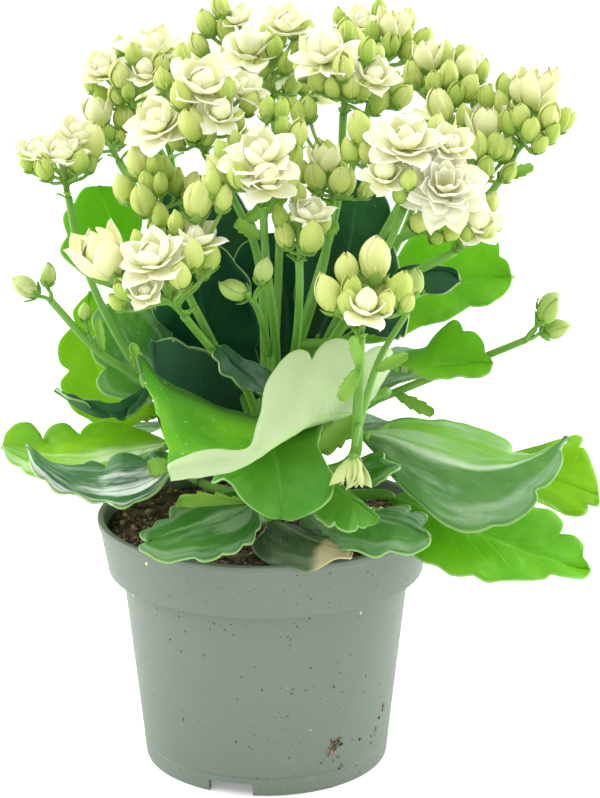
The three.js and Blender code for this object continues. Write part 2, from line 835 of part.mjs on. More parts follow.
// ---------------------------------------------------------------- stems
function stalkSolid(path, thick, thin) {
  const radii = path.map((p, i) => thick + ((thin - thick) * i) / (path.length - 1));
  return rod(path.map(point), radii, stalk.sides);
}

// The short stalk that carries a leaf: it ends square to the leaf's rib.
function leafStalkSolid(leaf) {
  const base = point(leaf.rib[0]);
  const along = railDirection(leaf.rib, 0.01);
  const end = base.clone().addScaledVector(along, -clearance);
  const bend = base.clone().addScaledVector(along, -leafStalk.straight);
  return rod([point(leaf.stalk), bend, end], leafStalk.radii, leafStalk.sides);
}

// A small toothed leaf on a stalk: a thin pointed blade with a raised middle.
function bractSolid({ root, tip, width }) {
  const from = point(root);
  const to = point(tip);
  const along = to.clone().sub(from).normalize();
  const across = new THREE.Vector3(0, 0, 1).cross(along).normalize();
  const up = along.clone().cross(across).normalize();
  const middle = from.clone().lerp(to, 0.55);
  const corners = [
    from,
    middle.clone().addScaledVector(across, -width / 2).addScaledVector(up, leafForm.marginThickness),
    to,
    middle.clone().addScaledVector(across, width / 2).addScaledVector(up, leafForm.marginThickness),
    middle.clone().addScaledVector(up, leafForm.marginThickness / 4),
    middle.clone().addScaledVector(up, -leafForm.marginThickness),
  ];
  const triangles = [];
  for (let k = 0; k < 4; k += 1) {
    const next = (k + 1) % 4;
    triangles.push([k, next, 4], [next, k, 5]);
  }
  return solidOf(indexed(corners, triangles));
}

function stemsSolid() {
  const middles = trunk.outline.map(([z]) => new THREE.Vector3(0, 0, z));
  const solids = [rod(middles, trunk.outline.map(([, radius]) => radius), trunk.sides)];
  for (const head of headPlan) {
    solids.push(stalkSolid(head.path, stalk.thick, stalk.thin));
  }
  for (const leaf of leaves) solids.push(leafStalkSolid(leaf));
  for (const sprig of sprigPlan) {
    solids.push(stalkSolid(sprig.path, sprig.radius * 1.3, sprig.radius));
    const end = point(sprig.path.at(-1));
    for (const bud of sprig.buds) solids.push(budSolid(end, point(bud)));
  }
  for (const bract of bractPlan) solids.push(bractSolid(bract));
  return joined(solids);
}

// ---------------------------------------------------------------- pot and soil
function turned(profile, segments) {
  const outline = profile.map(([r, z]) => new THREE.Vector2(r, z));
  return solidOf(new THREE.LatheGeometry(outline, segments).rotateX(Math.PI / 2));
}

// Inside radius of the pot's wall at a height under the shoulder.
function insideRadius(z) {
  const { footRadius, shoulderRadius, collarFoot, wall } = pot;
  return footRadius + ((shoulderRadius - footRadius) * z) / collarFoot - wall;
}

function potSolid() {
  const { rimRadius, height, wall, lip, lipStep, bevel, collarFoot, collarFootRadius } = pot;
  const { shoulderRadius, footRadius, footWidth, channelUnderside, padRadius, padSlope, segments } = pot;
  const floorTop = channelUnderside + wall;
  const shoulder = collarFoot - wall;
  const outside = [
    [0, 0],
    [padRadius, 0],
    [padRadius + padSlope, channelUnderside],
    [footRadius - footWidth, channelUnderside],
    [footRadius - footWidth, 0],
    [footRadius, 0],
    [shoulderRadius, collarFoot],
    [collarFootRadius, collarFoot],
    [rimRadius - lipStep, height - lip - bevel],
    [rimRadius, height - lip],
    [rimRadius, height - bevel],
    [rimRadius - bevel, height],
  ];
  const inside = [
    [rimRadius - wall - bevel, height],
    [rimRadius - wall - bevel, height - lip],
    [collarFootRadius - wall, collarFoot],
    [insideRadius(shoulder), shoulder],
    [insideRadius(floorTop), floorTop],
    [padRadius + padSlope / 2, floorTop],
    [padRadius - padSlope / 2, wall],
    [0, wall],
  ];
  let solid = turned([...outside, ...inside], segments);
  for (let k = 0; k < notch.count; k += 1) {
    const gap = new THREE.BoxGeometry(notch.depth, notch.width, 2 * notch.height);
    gap.translate(footRadius, 0, 0);
    solid = solid.subtract(solidOf(gap.rotateZ(degrees(notch.firstAngle + (k * 360) / notch.count))));
  }
  for (let k = 0; k < drain.count; k += 1) {
    const hole = new THREE.CylinderGeometry(drain.radius, drain.radius, 4 * wall, drain.sides);
    hole.rotateX(Math.PI / 2).translate(drain.ring, 0, channelUnderside);
    solid = solid.subtract(solidOf(hole.rotateZ(((k + 0.5) * 2 * Math.PI) / drain.count)));
  }
  return solid;
}

function soilSolid() {
  const { edgeHeight, middleHeight, gap, segments } = soil;
  const { wall, collarFoot, collarFootRadius, rimRadius, height } = pot;
  const { channelUnderside, padRadius, padSlope } = pot;
  const floorTop = channelUnderside + wall + clearance;
  const shoulder = collarFoot - wall;
  const hole = trunk.radius + trunk.holeGap;
  const slope = (rimRadius - collarFootRadius) / (height - collarFoot);
  const edge = collarFootRadius + slope * (edgeHeight - collarFoot) - wall - 2 * gap;
  return turned(
    [
      [0, wall + clearance],
      [padRadius - padSlope / 2 - gap, wall + clearance],
      [padRadius + padSlope / 2 - gap, floorTop],
      [insideRadius(floorTop) - gap, floorTop],
      [insideRadius(shoulder) - gap, shoulder],
      [collarFootRadius - wall - 2 * gap, collarFoot + gap],
      [edge, edgeHeight],
      [hole * 2, middleHeight],
      [hole, middleHeight],
      [hole, trunk.bottom - clearance],
      [0, trunk.bottom - clearance],
    ],
    segments,
  );
}

// ---------------------------------------------------------------- scene
const finishes = {
  plastic: { color: 0x93a59a, roughness: 0.6, metalness: 0 },
  peat: { color: 0x3a2a20, roughness: 0.95, metalness: 0 },
  stem: { color: 0x6fb53a, roughness: 0.5, metalness: 0 },
  leaf: { color: 0x2f8a2e, roughness: 0.4, metalness: 0 },
  withered: { color: 0x6d7a3c, roughness: 0.7, metalness: 0 },
  flower: { color: 0xf1f0cf, roughness: 0.6, metalness: 0 },
};

const plant = new THREE.Group();

function addPiece(name, solid, finish) {
  const mesh = new THREE.Mesh(geometryOf(solid), new THREE.MeshStandardMaterial(finishes[finish]));
  mesh.name = name;
  plant.add(mesh);
}

const leaves = [...leafPlan, ...backFan.map(fanLeaf)];

for (const head of headPlan) {
  for (const [x, y, z, radius] of head.blooms) place(new THREE.Vector3(x, y, z), radius * 0.9, head.name);
  const along = new THREE.CatmullRomCurve3(head.path.map(point)).getPoints(stalk.balls);
  for (const at of along.slice(0, -stalk.freeBalls)) place(at, stalk.thick, "stems");
}
for (const sprig of sprigPlan) {
  for (const bud of sprig.buds) place(point(bud), budForm.radius, "stems");
}

addPiece("pot", potSolid(), "plastic");
addPiece("soil", soilSolid(), "peat");
addPiece("stems", stemsSolid(), "stem");
for (const leaf of leaves) {
  addPiece(leaf.name, leafSolid(leaf), leaf.name === "leaf_withered" ? "withered" : "leaf");
}
for (const head of headPlan) addPiece(head.name, headSolid(head), "flower");

export default plant;
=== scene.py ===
import random
from math import cos, hypot, pi, radians, sin, sqrt, tau

import bmesh
import bpy
from mathutils import Matrix, Vector, noise


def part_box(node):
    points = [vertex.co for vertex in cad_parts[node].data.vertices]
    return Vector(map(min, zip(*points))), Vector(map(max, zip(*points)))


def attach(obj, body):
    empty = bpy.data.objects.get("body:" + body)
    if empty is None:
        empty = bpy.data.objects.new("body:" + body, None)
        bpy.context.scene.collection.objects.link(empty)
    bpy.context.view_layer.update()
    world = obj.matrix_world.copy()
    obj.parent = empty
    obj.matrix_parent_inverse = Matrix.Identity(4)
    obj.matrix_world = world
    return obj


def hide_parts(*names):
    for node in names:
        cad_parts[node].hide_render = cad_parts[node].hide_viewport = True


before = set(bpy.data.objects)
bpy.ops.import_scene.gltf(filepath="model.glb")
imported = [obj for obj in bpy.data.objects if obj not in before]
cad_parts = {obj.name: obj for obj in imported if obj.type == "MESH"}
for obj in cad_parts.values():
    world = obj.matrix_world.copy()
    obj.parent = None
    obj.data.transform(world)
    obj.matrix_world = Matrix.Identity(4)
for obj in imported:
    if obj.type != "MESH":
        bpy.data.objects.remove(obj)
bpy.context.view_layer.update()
print("frame loaded:", len(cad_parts), "nodes")

# Lengths are in millimetres up to the moment a piece is made, which brings them to metres.
metre = 0.001
up = Vector((0, 0, 1))


# The camera stands where the photograph was taken from

camera = {
    "place": Vector((12.24, -760, 337.15)),
    "down": radians(15.128),  # below the horizon
    "lens": 100.76,
    "sensor": 36,  # on the long side
    "width": 600,
    "height": 798,
}


def addCamera():
    data = bpy.data.cameras.new("camera")
    data.lens = camera["lens"]
    data.sensor_width = camera["sensor"]
    data.clip_start = 0.01
    data.clip_end = 60
    eye = bpy.data.objects.new("camera", data)
    eye.location = camera["place"] * metre
    eye.rotation_euler = (radians(90) - camera["down"], 0, 0)
    bpy.context.scene.collection.objects.link(eye)
    bpy.context.scene.camera = eye


# The line of sight through a pixel of the photograph.
def sightLine(px, py):
    far = camera["lens"] / camera["sensor"] * camera["height"]
    forward = Vector((0, cos(camera["down"]), -sin(camera["down"])))
    rise = Vector((0, sin(camera["down"]), cos(camera["down"])))
    across = Vector((1, 0, 0))
    way = forward * far + across * (px - camera["width"] / 2) + rise * (camera["height"] / 2 - py)
    return camera["place"], way.normalized()


# Where that line meets the near side of an egg-shaped space, or comes closest to it.
def onEgg(px, py, middle, half):
    start, way = sightLine(px, py)
    a = Vector(((start[i] - middle[i]) / half[i] for i in range(3)))
    b = Vector((way[i] / half[i] for i in range(3)))
    closest = -a.dot(b) / b.dot(b)
    deep = closest * closest - (a.dot(a) - 1) / b.dot(b)
    return start + way * (closest - sqrt(max(deep, 0)))


# Shading kit

class Mark:
    # a node socket, on which maths adds its Math nodes
    def __init__(self, paint, socket):
        self.paint = paint
        self.socket = socket

    def maths(self, operation, *values):
        return self.paint.add("ShaderNodeMath", {"operation": operation}, dict(enumerate(values)))

    def __add__(self, other):
        return self.maths("ADD", self, other)

    def __radd__(self, other):
        return self.maths("ADD", other, self)

    def __sub__(self, other):
        return self.maths("SUBTRACT", self, other)

    def __rsub__(self, other):
        return self.maths("SUBTRACT", other, self)

    def __mul__(self, other):
        return self.maths("MULTIPLY", self, other)

    def __abs__(self):
        return self.maths("ABSOLUTE", self)

    def fraction(self):
        return self.maths("FRACT", self)


class Paint:
    # one material, built from nodes
    def __init__(self, name):
        self.material = bpy.data.materials.new(name)
        self.material.use_nodes = True
        self.tree = self.material.node_tree
        self.tree.nodes.clear()

    def add(self, kind, settings=None, sockets=None, out=0):
        node = self.tree.nodes.new(kind)
        for name, value in (settings or {}).items():
            if name == "stops":
                self.setStops(node.color_ramp, value)
            else:
                setattr(node, name, value)
        for name, value in (sockets or {}).items():
            if isinstance(value, Mark):
                self.tree.links.new(value.socket, node.inputs[name])
            else:
                node.inputs[name].default_value = value
        return Mark(self, node.outputs[out]) if node.outputs else None

    def setStops(self, ramp, stops):
        while len(ramp.elements) < len(stops):
            ramp.elements.new(0.5)
        for element, (at, colour) in zip(ramp.elements, stops):
            element.position = at
            element.color = (*colour, 1)

    def place(self):
        return self.add("ShaderNodeTexCoord", None, None, "Object")

    def grain(self, scale, detail=3, roughness=0.55, vector=None):
        sockets = {"Scale": scale, "Detail": detail, "Roughness": roughness, "Vector": vector or self.place()}
        return self.add("ShaderNodeTexNoise", None, sockets, "Fac")

    # small specks, on the patches that a noise picks
    def specks(self, scale, size, patches, cover):
        sockets = {"Vector": self.place(), "Scale": scale}
        cells = self.add("ShaderNodeTexVoronoi", None, sockets, "Distance")
        return (1 - self.steps(cells, *size)) * self.steps(self.grain(*patches), *cover)

    def reading(self, name):
        settings = {"attribute_type": "GEOMETRY", "attribute_name": name}
        return self.add("ShaderNodeAttribute", settings, None, "Fac")

    def steps(self, value, low, high):
        sockets = {"Value": value, "From Min": low, "From Max": high}
        return self.add("ShaderNodeMapRange", {"interpolation_type": "SMOOTHSTEP"}, sockets)

    def blend(self, share, first, second):
        first, second = (value if isinstance(value, Mark) else (*value, 1) for value in (first, second))
        return self.add("ShaderNodeMix", {"data_type": "RGBA"}, {"Factor": share, 6: first, 7: second}, 2)

    def ramp(self, value, stops):
        return self.add("ShaderNodeValToRGB", {"stops": stops}, {"Fac": value})

    def vector(self, *values):
        return self.add("ShaderNodeCombineXYZ", None, dict(enumerate(values)))

    def bump(self, height, strength, distance):
        sockets = {"Height": height, "Strength": strength, "Distance": distance}
        return self.add("ShaderNodeBump", None, sockets)

    # glow: the colour of the light that comes through
    def finish(self, sockets, glow=None, share=0.0):
        surface = self.add("ShaderNodeBsdfPrincipled", None, sockets)
        if glow:
            through = self.add("ShaderNodeBsdfTranslucent", None, {"Color": (*glow, 1)})
            surface = self.add("ShaderNodeMixShader", None, {0: share, 1: surface, 2: through})
        self.add("ShaderNodeOutputMaterial", None, {"Surface": surface})
        return self.material


# Pieces

# Reads a text of points: commas part the numbers, spaces the points, and a slash gives a point again.
def spots(text):
    points = []
    for word in text.split():
        if word == "/":
            points.append(points[-1])
        else:
            points.append(tuple(part if part.isalpha() else float(part) for part in word.split(",")))
    return points


# A plan with its texts of numbers read.
def readPoints(plan):
    written = [key for key, value in plan.items() if isinstance(value, str) and "," in value]
    return {**plan, **{key: spots(plan[key]) for key in written}}


def makePiece(bm, name, materials, nodes=(), slotName=None, stage=False):
    bmesh.ops.scale(bm, vec=(metre,) * 3, verts=bm.verts)
    mesh = bpy.data.meshes.new(name)
    bm.to_mesh(mesh)
    bm.free()
    mesh.shade_smooth()
    for material in materials:
        mesh.materials.append(material)
    piece = bpy.data.objects.new(name, mesh)
    bpy.context.scene.collection.objects.link(piece)
    if stage:
        return piece
    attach(piece, "root")
    if nodes:
        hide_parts(*nodes)
    return piece


# A closed skin: a grid rolled round an axis. shape gives a point for an angle and a share of the length.
def addRolled(bm, sides, rings, shape):
    made = bmesh.ops.create_grid(bm, x_segments=sides, y_segments=rings, size=1)["verts"]
    for vert in made:
        vert.co = shape((vert.co.x + 1) * pi, (vert.co.y + 1) / 2)
    return made


# A point of the smooth curve from b to c, where a and d are the points before and after them.
def curve(a, b, c, d, t):
    bend = 2 * a - 5 * b + 4 * c - d
    turn = 3 * b - a - 3 * c + d
    return 0.5 * (2 * b + (c - a) * t + bend * t * t + turn * t ** 3)


# A smooth line through points, each with its radius, as evenly read stations.
def smoothLine(points, radii, steps):
    points = [Vector(p) for p in points]
    ends = [points[0] * 2 - points[1], *points, points[-1] * 2 - points[-2]]
    line = []
    for i in range(len(points) - 1):
        for k in range(steps):
            t = k / steps
            line.append((curve(*ends[i:i + 4], t), radii[i] + (radii[i + 1] - radii[i]) * t))
    line.append((points[-1], radii[-1]))
    return line


# A tube along stations, each a place and a radius, closed at both ends.
def addTube(bm, line, sides):
    frames = []
    side = Vector((1, 0, 0))
    for i, (middle, radius) in enumerate(line):
        along = (line[min(i + 1, len(line) - 1)][0] - line[max(i - 1, 0)][0]).normalized()
        if abs(side.dot(along)) > 0.95:
            side = Vector((0, 1, 0))
        side = (side - along * side.dot(along)).normalized()
        frames.append((middle, side, along.cross(side), radius))
    first, last = frames[0], frames[-1]
    frames = [(*first[:3], 0), *frames, (*last[:3], 0)]
    count = len(frames) - 1

    def shape(angle, share):
        middle, across, rise, radius = frames[round(share * count)]
        return middle + across * (cos(angle) * radius) + rise * (sin(angle) * radius)

    return addRolled(bm, sides, count, shape)


def weld(bm):
    bmesh.ops.remove_doubles(bm, verts=bm.verts, dist=0.002)
    bmesh.ops.recalc_face_normals(bm, faces=bm.faces)


# A closed skin turned round the Z axis from radii and heights, with some of its corners rounded.
def turned(outline, segments, rounded=()):
    bm = bmesh.new()
    verts = [bm.verts.new((r, 0, z)) for r, z in outline]
    for a, b in zip(verts, verts[1:]):
        bm.edges.new((a, b))
    if rounded:
        bmesh.ops.bevel(bm, geom=[verts[i] for i in rounded], offset=0.55, segments=3, profile=0.5,
                        affect="VERTICES", material=-1)
    bmesh.ops.spin(bm, geom=bm.verts[:] + bm.edges[:], cent=(0, 0, 0), axis=(0, 0, 1), angle=tau,
                   steps=segments, use_merge=True)
    bmesh.ops.remove_doubles(bm, verts=bm.verts, dist=0.01)
    bmesh.ops.recalc_face_normals(bm, faces=bm.faces)
    return bm


# Studio

studio = {
    "floorRadius": 9.0,
    "floorColour": (0.93, 0.94, 0.93),
    "floorGlow": 0.22,
    "sky": 0.9,
    "lamps": [
        # name, place, width, power, colour
        ("keyLamp", (-0.7, -0.7, 1.25), 0.9, 6, (1, 0.99, 0.96)),
        ("backLampLeft", (-1.15, 0.4, 0.6), 1.1, 16, (1, 1, 0.97)),
        ("backLampRight", (1.15, 0.35, 0.6), 1.1, 18, (1, 1, 0.97)),
        ("topLamp", (0.1, 0.1, 1.5), 1.0, 6, (1, 1, 1)),
    ],
    "aim": Vector((0, 0, 0.14)),
}


def addStudio():
    world = bpy.data.worlds.new("world")
    bpy.context.scene.world = world
    world.use_nodes = True
    sky = world.node_tree.nodes["Background"]
    sky.inputs["Color"].default_value = (1, 1, 1, 1)
    sky.inputs["Strength"].default_value = studio["sky"]
    for name, at, width, power, colour in studio["lamps"]:
        data = bpy.data.lights.new(name, "AREA")
        data.shape = "DISK"
        data.size = width
        data.energy = power
        data.color = colour
        light = bpy.data.objects.new(name, data)
        light.location = at
        light.rotation_euler = (Vector(at) - studio["aim"]).to_track_quat("Z", "Y").to_euler()
        light.visible_camera = False
        bpy.context.scene.collection.objects.link(light)
    paint = Paint("paleFloor")
    tone = studio["floorColour"]
    floorPaint = paint.finish({
        "Base Color": paint.blend(paint.grain(3), tone, tuple(c * 1.02 for c in tone)),
        "Roughness": 0.9,
        "Emission Color": (1, 1, 1, 1),
        "Emission Strength": studio["floorGlow"],
    })
    bm = bmesh.new()
    bmesh.ops.create_circle(bm, cap_ends=True, segments=64, radius=studio["floorRadius"] / metre)
    makePiece(bm, "floor", [floorPaint], stage=True)
    bpy.context.scene.view_settings.view_transform = "Standard"


addCamera()
addStudio()
print("camera, lights and floor set")


# The pot

pot = {
    "rim": 60,  # radii and heights
    "height": 90,
    "wall": 1.8,
    "lip": 2.2,
    "lipStep": 0.7,
    "collarFoot": 70.5,
    "collarFootRadius": 56.3,
    "shoulder": 51.5,
    "foot": 43.9,
    "footWidth": 2.4,
    "channel": 5,
    "pad": 14,
    "padSlope": 2,
    "seam": 6.5,  # height of the moulding seam
    "seamRise": 0.35,
    "seamDepth": 0.22,
    "segments": 144,
    "notches": 3,
    "notchSize": (8, 16, 4.6),
    "notchAngle": -106,
    "drains": 6,
    "drainRadius": 3.5,
    "drainRing": 28,
    "round": (1, 2, 3, 4, 5, 9, 10, 11, 12, 13, 14, 16, 17, 18),  # corners of the outline
    "sharp": 35,  # degrees from which an edge is drawn sharp
}


potClumps = (  # pixel across, pixel down, size
    "338,740,2.2 334,745,2.6 331,750,2.0 341,744,1.2 384,704,1.1 383,709,0.9 379,718,0.8 376,729,1.1 "
    "375,734,0.8 371,736,0.5 371,743,0.5 360,739,0.9 338,757,0.6 333,761,0.5 341,765,0.6 340,768,0.5 "
    "329,786,1.0 321,763,0.4 338,662,0.5 334,687,0.6 340,673,0.35 366,676,0.3 183,720,0.6 262,690,0.4 "
    "204,655,0.5 311,668,0.4 291,640,0.4 236,742,0.4 170,640,0.5 181,567,0.7"
)


def potWallRadius(z):
    return pot["foot"] + (pot["shoulder"] - pot["foot"]) * z / pot["collarFoot"]


def potPaint():
    paint = Paint("greyGreenPlastic")
    wide = paint.grain(9, 2)
    fine = paint.grain(900, 2, 0.7)
    colour = paint.blend(wide, (0.128, 0.160, 0.131), (0.150, 0.184, 0.152))
    dust = paint.steps(paint.grain(60, 6, 0.75), 0.60, 0.74)
    colour = paint.blend(dust * 0.16, colour, (0.38, 0.38, 0.32))
    # crumbs of peat and lime that dried on the wall
    brown = paint.specks(250, (0.08, 0.15), (75, 4, 0.8), (0.47, 0.52))
    cream = paint.specks(150, (0.07, 0.12), (64, 4, 0.8), (0.58, 0.62))
    soot = paint.specks(430, (0.06, 0.16), (50, 3, 0.7), (0.50, 0.56))
    colour = paint.blend(brown, colour, (0.10, 0.055, 0.035))
    colour = paint.blend(cream, colour, (0.62, 0.56, 0.40))
    colour = paint.blend(soot * 0.8, colour, (0.045, 0.055, 0.045))
    return paint.finish({
        "Base Color": colour,
        "Roughness": 0.46 + wide * 0.14,
        "Specular IOR Level": 0.4,
        "Normal": paint.bump(fine + dust * 0.4 + brown * 2, 0.12, 0.0003),
    })


def addPot():
    p = pot
    floorTop = p["channel"] + p["wall"]
    ledge = p["collarFoot"] - p["wall"]
    mouth = p["rim"] - p["wall"] - 0.6
    footInside = p["foot"] - p["footWidth"]
    seam, seamRadius = p["seam"], potWallRadius(p["seam"])
    lipFoot = p["height"] - p["lip"]
    outline = [
        (0, 0), (p["pad"], 0), (p["pad"] + p["padSlope"], p["channel"]), (footInside, p["channel"]),
        (footInside, 0), (p["foot"], 0),
        (seamRadius, seam), (seamRadius - p["seamDepth"], seam + p["seamRise"]),
        (seamRadius, seam + p["seamRise"] * 2),
        (p["shoulder"] - 0.1, p["collarFoot"]), (p["collarFootRadius"], p["collarFoot"]),
        (p["rim"] - p["lipStep"], lipFoot - 0.6), (p["rim"], lipFoot),
        (p["rim"], p["height"]), (mouth, p["height"]), (mouth, lipFoot),
        (p["collarFootRadius"] - p["wall"], p["collarFoot"]), (potWallRadius(ledge) - p["wall"], ledge),
        (potWallRadius(floorTop) - p["wall"], floorTop), (p["pad"] + 1, floorTop),
        (p["pad"] - 1, p["wall"]), (0, p["wall"]),
    ]
    bm = turned(outline, p["segments"], p["round"])
    piece = makePiece(bm, "potWall", [potPaint()], ["pot"], "pot_plastic")
    cut = bmesh.new()
    depth, width, rise = p["notchSize"]
    for k in range(p["notches"]):
        turn = Matrix.Rotation(radians(p["notchAngle"] + k * 360 / p["notches"]), 4, "Z")
        place = turn @ Matrix.Translation((p["foot"], 0, 0)) @ Matrix.Diagonal((depth, width, rise * 2, 1))
        bmesh.ops.create_cube(cut, size=1, matrix=place)
    bmesh.ops.bevel(cut, geom=cut.edges[:], offset=0.8, segments=3, profile=0.5, affect="EDGES", material=-1)
    for k in range(p["drains"]):
        turn = Matrix.Rotation((k + 0.5) * tau / p["drains"], 4, "Z")
        place = turn @ Matrix.Translation((p["drainRing"], 0, p["channel"]))
        bmesh.ops.create_cone(cut, cap_ends=True, segments=24, radius1=p["drainRadius"],
                              radius2=p["drainRadius"], depth=4 * p["wall"], matrix=place)
    cutAway(piece, cut)
    piece.data.set_sharp_from_angle(angle=radians(p["sharp"]))


# Where a line of sight meets the pot's wall.
def onPot(px, py):
    start, way = sightLine(px, py)
    reach = 600  # a little short of the pot
    for _ in range(40):
        at = start + way * reach
        reach += (hypot(at.x, at.y) - potWallRadius(at.z)) * 0.8
    return start + way * reach


# Peat that dried on the wall.
def addClumps():
    draw = random.Random(7)
    noise.seed_set(7)  # noise_vector starts from the clock without it
    bm = bmesh.new()
    for px, py, size in spots(potClumps):
        at = onPot(px, py)
        turn = Vector((at.x, at.y, 0)).to_track_quat("Z", "Y").to_matrix().to_4x4()
        for _ in range(round(3 + 9 * size)):
            shift = Vector((draw.gauss(0, 0.4), draw.gauss(0, 0.5), 0)) * size
            flat = Matrix.Translation(shift) @ Matrix.Diagonal((1, 1, 0.6, 1))
            place = Matrix.Translation(at) @ turn @ flat
            radius = draw.uniform(0.16, 0.34) * sqrt(size)
            lump = bmesh.ops.create_icosphere(bm, subdivisions=1, radius=radius, matrix=place)["verts"]
            for v in lump:
                v.co += noise.noise_vector(v.co * 3.1) * 0.16 * sqrt(size)
    makePiece(bm, "potClumps", [crumbPaint()], [], "peat")


# Cuts a bmesh's solids out of a piece and applies the cut.
def cutAway(piece, cut):
    bmesh.ops.scale(cut, vec=(metre,) * 3, verts=cut.verts)
    mesh = bpy.data.meshes.new("cutter")
    cut.to_mesh(mesh)
    cut.free()
    cutter = bpy.data.objects.new("cutter", mesh)
    bpy.context.scene.collection.objects.link(cutter)
    change = piece.modifiers.new("cut", "BOOLEAN")
    change.operation = "DIFFERENCE"
    change.object = cutter
    change.solver = "EXACT"
    graph = bpy.context.evaluated_depsgraph_get()
    result = bpy.data.meshes.new_from_object(piece.evaluated_get(graph))
    piece.modifiers.clear()
    piece.data = result
    bpy.data.objects.remove(cutter)
    result.shade_smooth()


addPot()
print("pot turned")


# The soil

soil = {
    "edgeHeight": 85,
    "middleHeight": 88,
    "gap": 0.5,
    "reach": 57,
    "hole": 6.4,  # radius round the trunk
    "holeStep": 76,
    "holeFoot": 70.4,
    "holeEnd": 69.7,
    "segments": 120,
    "rings": 26,
    "rough": 1.1,
    "crumbs": 950,
    "crumbSizes": [0.4, 0.5, 0.6, 0.8, 1.1, 1.5],
    "fibres": 240,
    "fibreLength": (2.5, 7),
    "fibreRadii": [0.14, 0.18, 0.16, 0.08],
    "bottom": 7.1,
    "flatTop": 87,  # before it is made rough
}


def soilPaint():
    paint = Paint("peat")
    lumps = paint.grain(160, 6, 0.7)
    flecks = paint.grain(520, 4, 0.7)
    stops = [(0.3, (0.010, 0.008, 0.007)), (0.5, (0.048, 0.034, 0.027)), (0.68, (0.22, 0.155, 0.115))]
    fleck = paint.steps(flecks, 0.57, 0.68)
    return paint.finish({
        "Base Color": paint.blend(fleck, paint.ramp(lumps, stops), (0.46, 0.30, 0.21)),
        "Roughness": 0.95,
        "Specular IOR Level": 0.15,
        "Normal": paint.bump(lumps + flecks * 0.5, 0.9, 0.0016),
    })


def crumbPaint():
    paint = Paint("crumbs")
    stops = [(0.34, (0.026, 0.014, 0.009)), (0.5, (0.12, 0.062, 0.036)), (0.66, (0.46, 0.31, 0.21))]
    return paint.finish({
        "Base Color": paint.ramp(paint.grain(230, 3), stops),
        "Roughness": 0.93,
        "Normal": paint.bump(paint.grain(900, 4, 0.7), 0.8, 0.0006),
    })


def soilHeight(x, y):
    share = hypot(x, y) / soil["reach"]
    base = soil["middleHeight"] + (soil["edgeHeight"] - soil["middleHeight"]) * share ** 2
    at = Vector((x * 0.11, y * 0.11, 3.1))
    return base + soil["rough"] * (noise.noise(at) * 1.5 + noise.noise(at * 3.3) * 0.7) - 0.4


def addSoil():
    s = soil
    collarSlope = (pot["rim"] - pot["collarFootRadius"]) / (pot["height"] - pot["collarFoot"])
    edge = pot["collarFootRadius"] + collarSlope * (s["edgeHeight"] - pot["collarFoot"]) - pot["wall"] - 1.0
    ledge = pot["collarFoot"] - pot["wall"]
    floor = pot["wall"] + 0.3
    inset = pot["wall"] + s["gap"]
    outline = [
        (0, floor), (pot["pad"] - 1.5, floor), (pot["pad"] + 0.5, s["bottom"]),
        (potWallRadius(s["bottom"]) - inset, s["bottom"]), (potWallRadius(ledge) - inset, ledge),
        (pot["collarFootRadius"] - pot["wall"] - 1.0, pot["collarFoot"] + 0.5),
    ]
    for k in range(s["rings"] + 1):
        outline.append((edge - (edge - s["hole"]) * k / s["rings"], s["flatTop"]))
    hole = [(s["hole"], s["holeStep"]), (s["hole"] * 0.6, s["holeFoot"]), (0, s["holeEnd"])]
    bm = turned(outline + hole, s["segments"])
    for v in bm.verts:
        if abs(v.co.z - s["flatTop"]) < 0.01:
            v.co.z = soilHeight(v.co.x, v.co.y)
    bmesh.ops.recalc_face_normals(bm, faces=bm.faces)
    makePiece(bm, "peatBed", [soilPaint()], ["soil"], "peat")
    addCrumbs(edge)


def addCrumbs(edge):
    draw = random.Random(41)
    bm = bmesh.new()
    for _ in range(soil["crumbs"]):
        reach = sqrt(draw.uniform(0.03, 1)) * (edge - 1.2)
        angle = draw.uniform(0, tau)
        x, y = reach * cos(angle), reach * sin(angle)
        size = draw.choice(soil["crumbSizes"])
        turn = Matrix.Rotation(draw.uniform(0, tau), 4, Vector((draw.random(), draw.random(), 1)))
        squash = Matrix.Diagonal((draw.uniform(0.7, 1.3), draw.uniform(0.6, 1.1), draw.uniform(0.5, 0.9), 1))
        place = Matrix.Translation((x, y, soilHeight(x, y) + size * 0.2)) @ turn @ squash
        lump = bmesh.ops.create_icosphere(bm, subdivisions=1, radius=size, matrix=place)["verts"]
        for v in lump:
            v.co += Vector([draw.uniform(-1, 1) for _ in range(3)]) * size * 0.18
    for _ in range(soil["fibres"]):
        reach = sqrt(draw.uniform(0.03, 1)) * (edge - 4)
        angle = draw.uniform(0, tau)
        heading = draw.uniform(0, tau)
        length = draw.uniform(*soil["fibreLength"])
        points = []
        for k in range(4):
            x = reach * cos(angle) + cos(heading + 0.5 * k) * length * k / 3
            y = reach * sin(angle) + sin(heading + 0.5 * k) * length * k / 3
            inside = min(1, (edge - 1.5) / hypot(x, y))
            x, y = x * inside, y * inside
            points.append((x, y, soilHeight(x, y) + 0.35 + draw.uniform(0, 0.7)))
        addTube(bm, smoothLine(points, soil["fibreRadii"], 1), 3)
    weld(bm)
    makePiece(bm, "peatCrumbs", [crumbPaint()], [], "peat")


addSoil()
addClumps()
print("soil filled")


# Leaves

leafForm = {
    "petiole": 0.07,  # the stalk's share of the length
    "rise": 0.85,  # how the outline widens, and how it closes at the tip
    "close": 0.42,
    "stalkHalfWidth": 2.2,
    "stalkThick": 2.3,
    "ribThick": 1.6,
    "marginThick": 0.75,
    "sweep": 0.34,  # how far the margin leans towards the tip
    "columns": 18,
    "rows": 96,
    "notch": 4.6,  # pixels that a drawn notch goes in
    "wave": 0.26,
    "depthReach": 7.0,  # how far a drawn margin may leave the planned depth
}

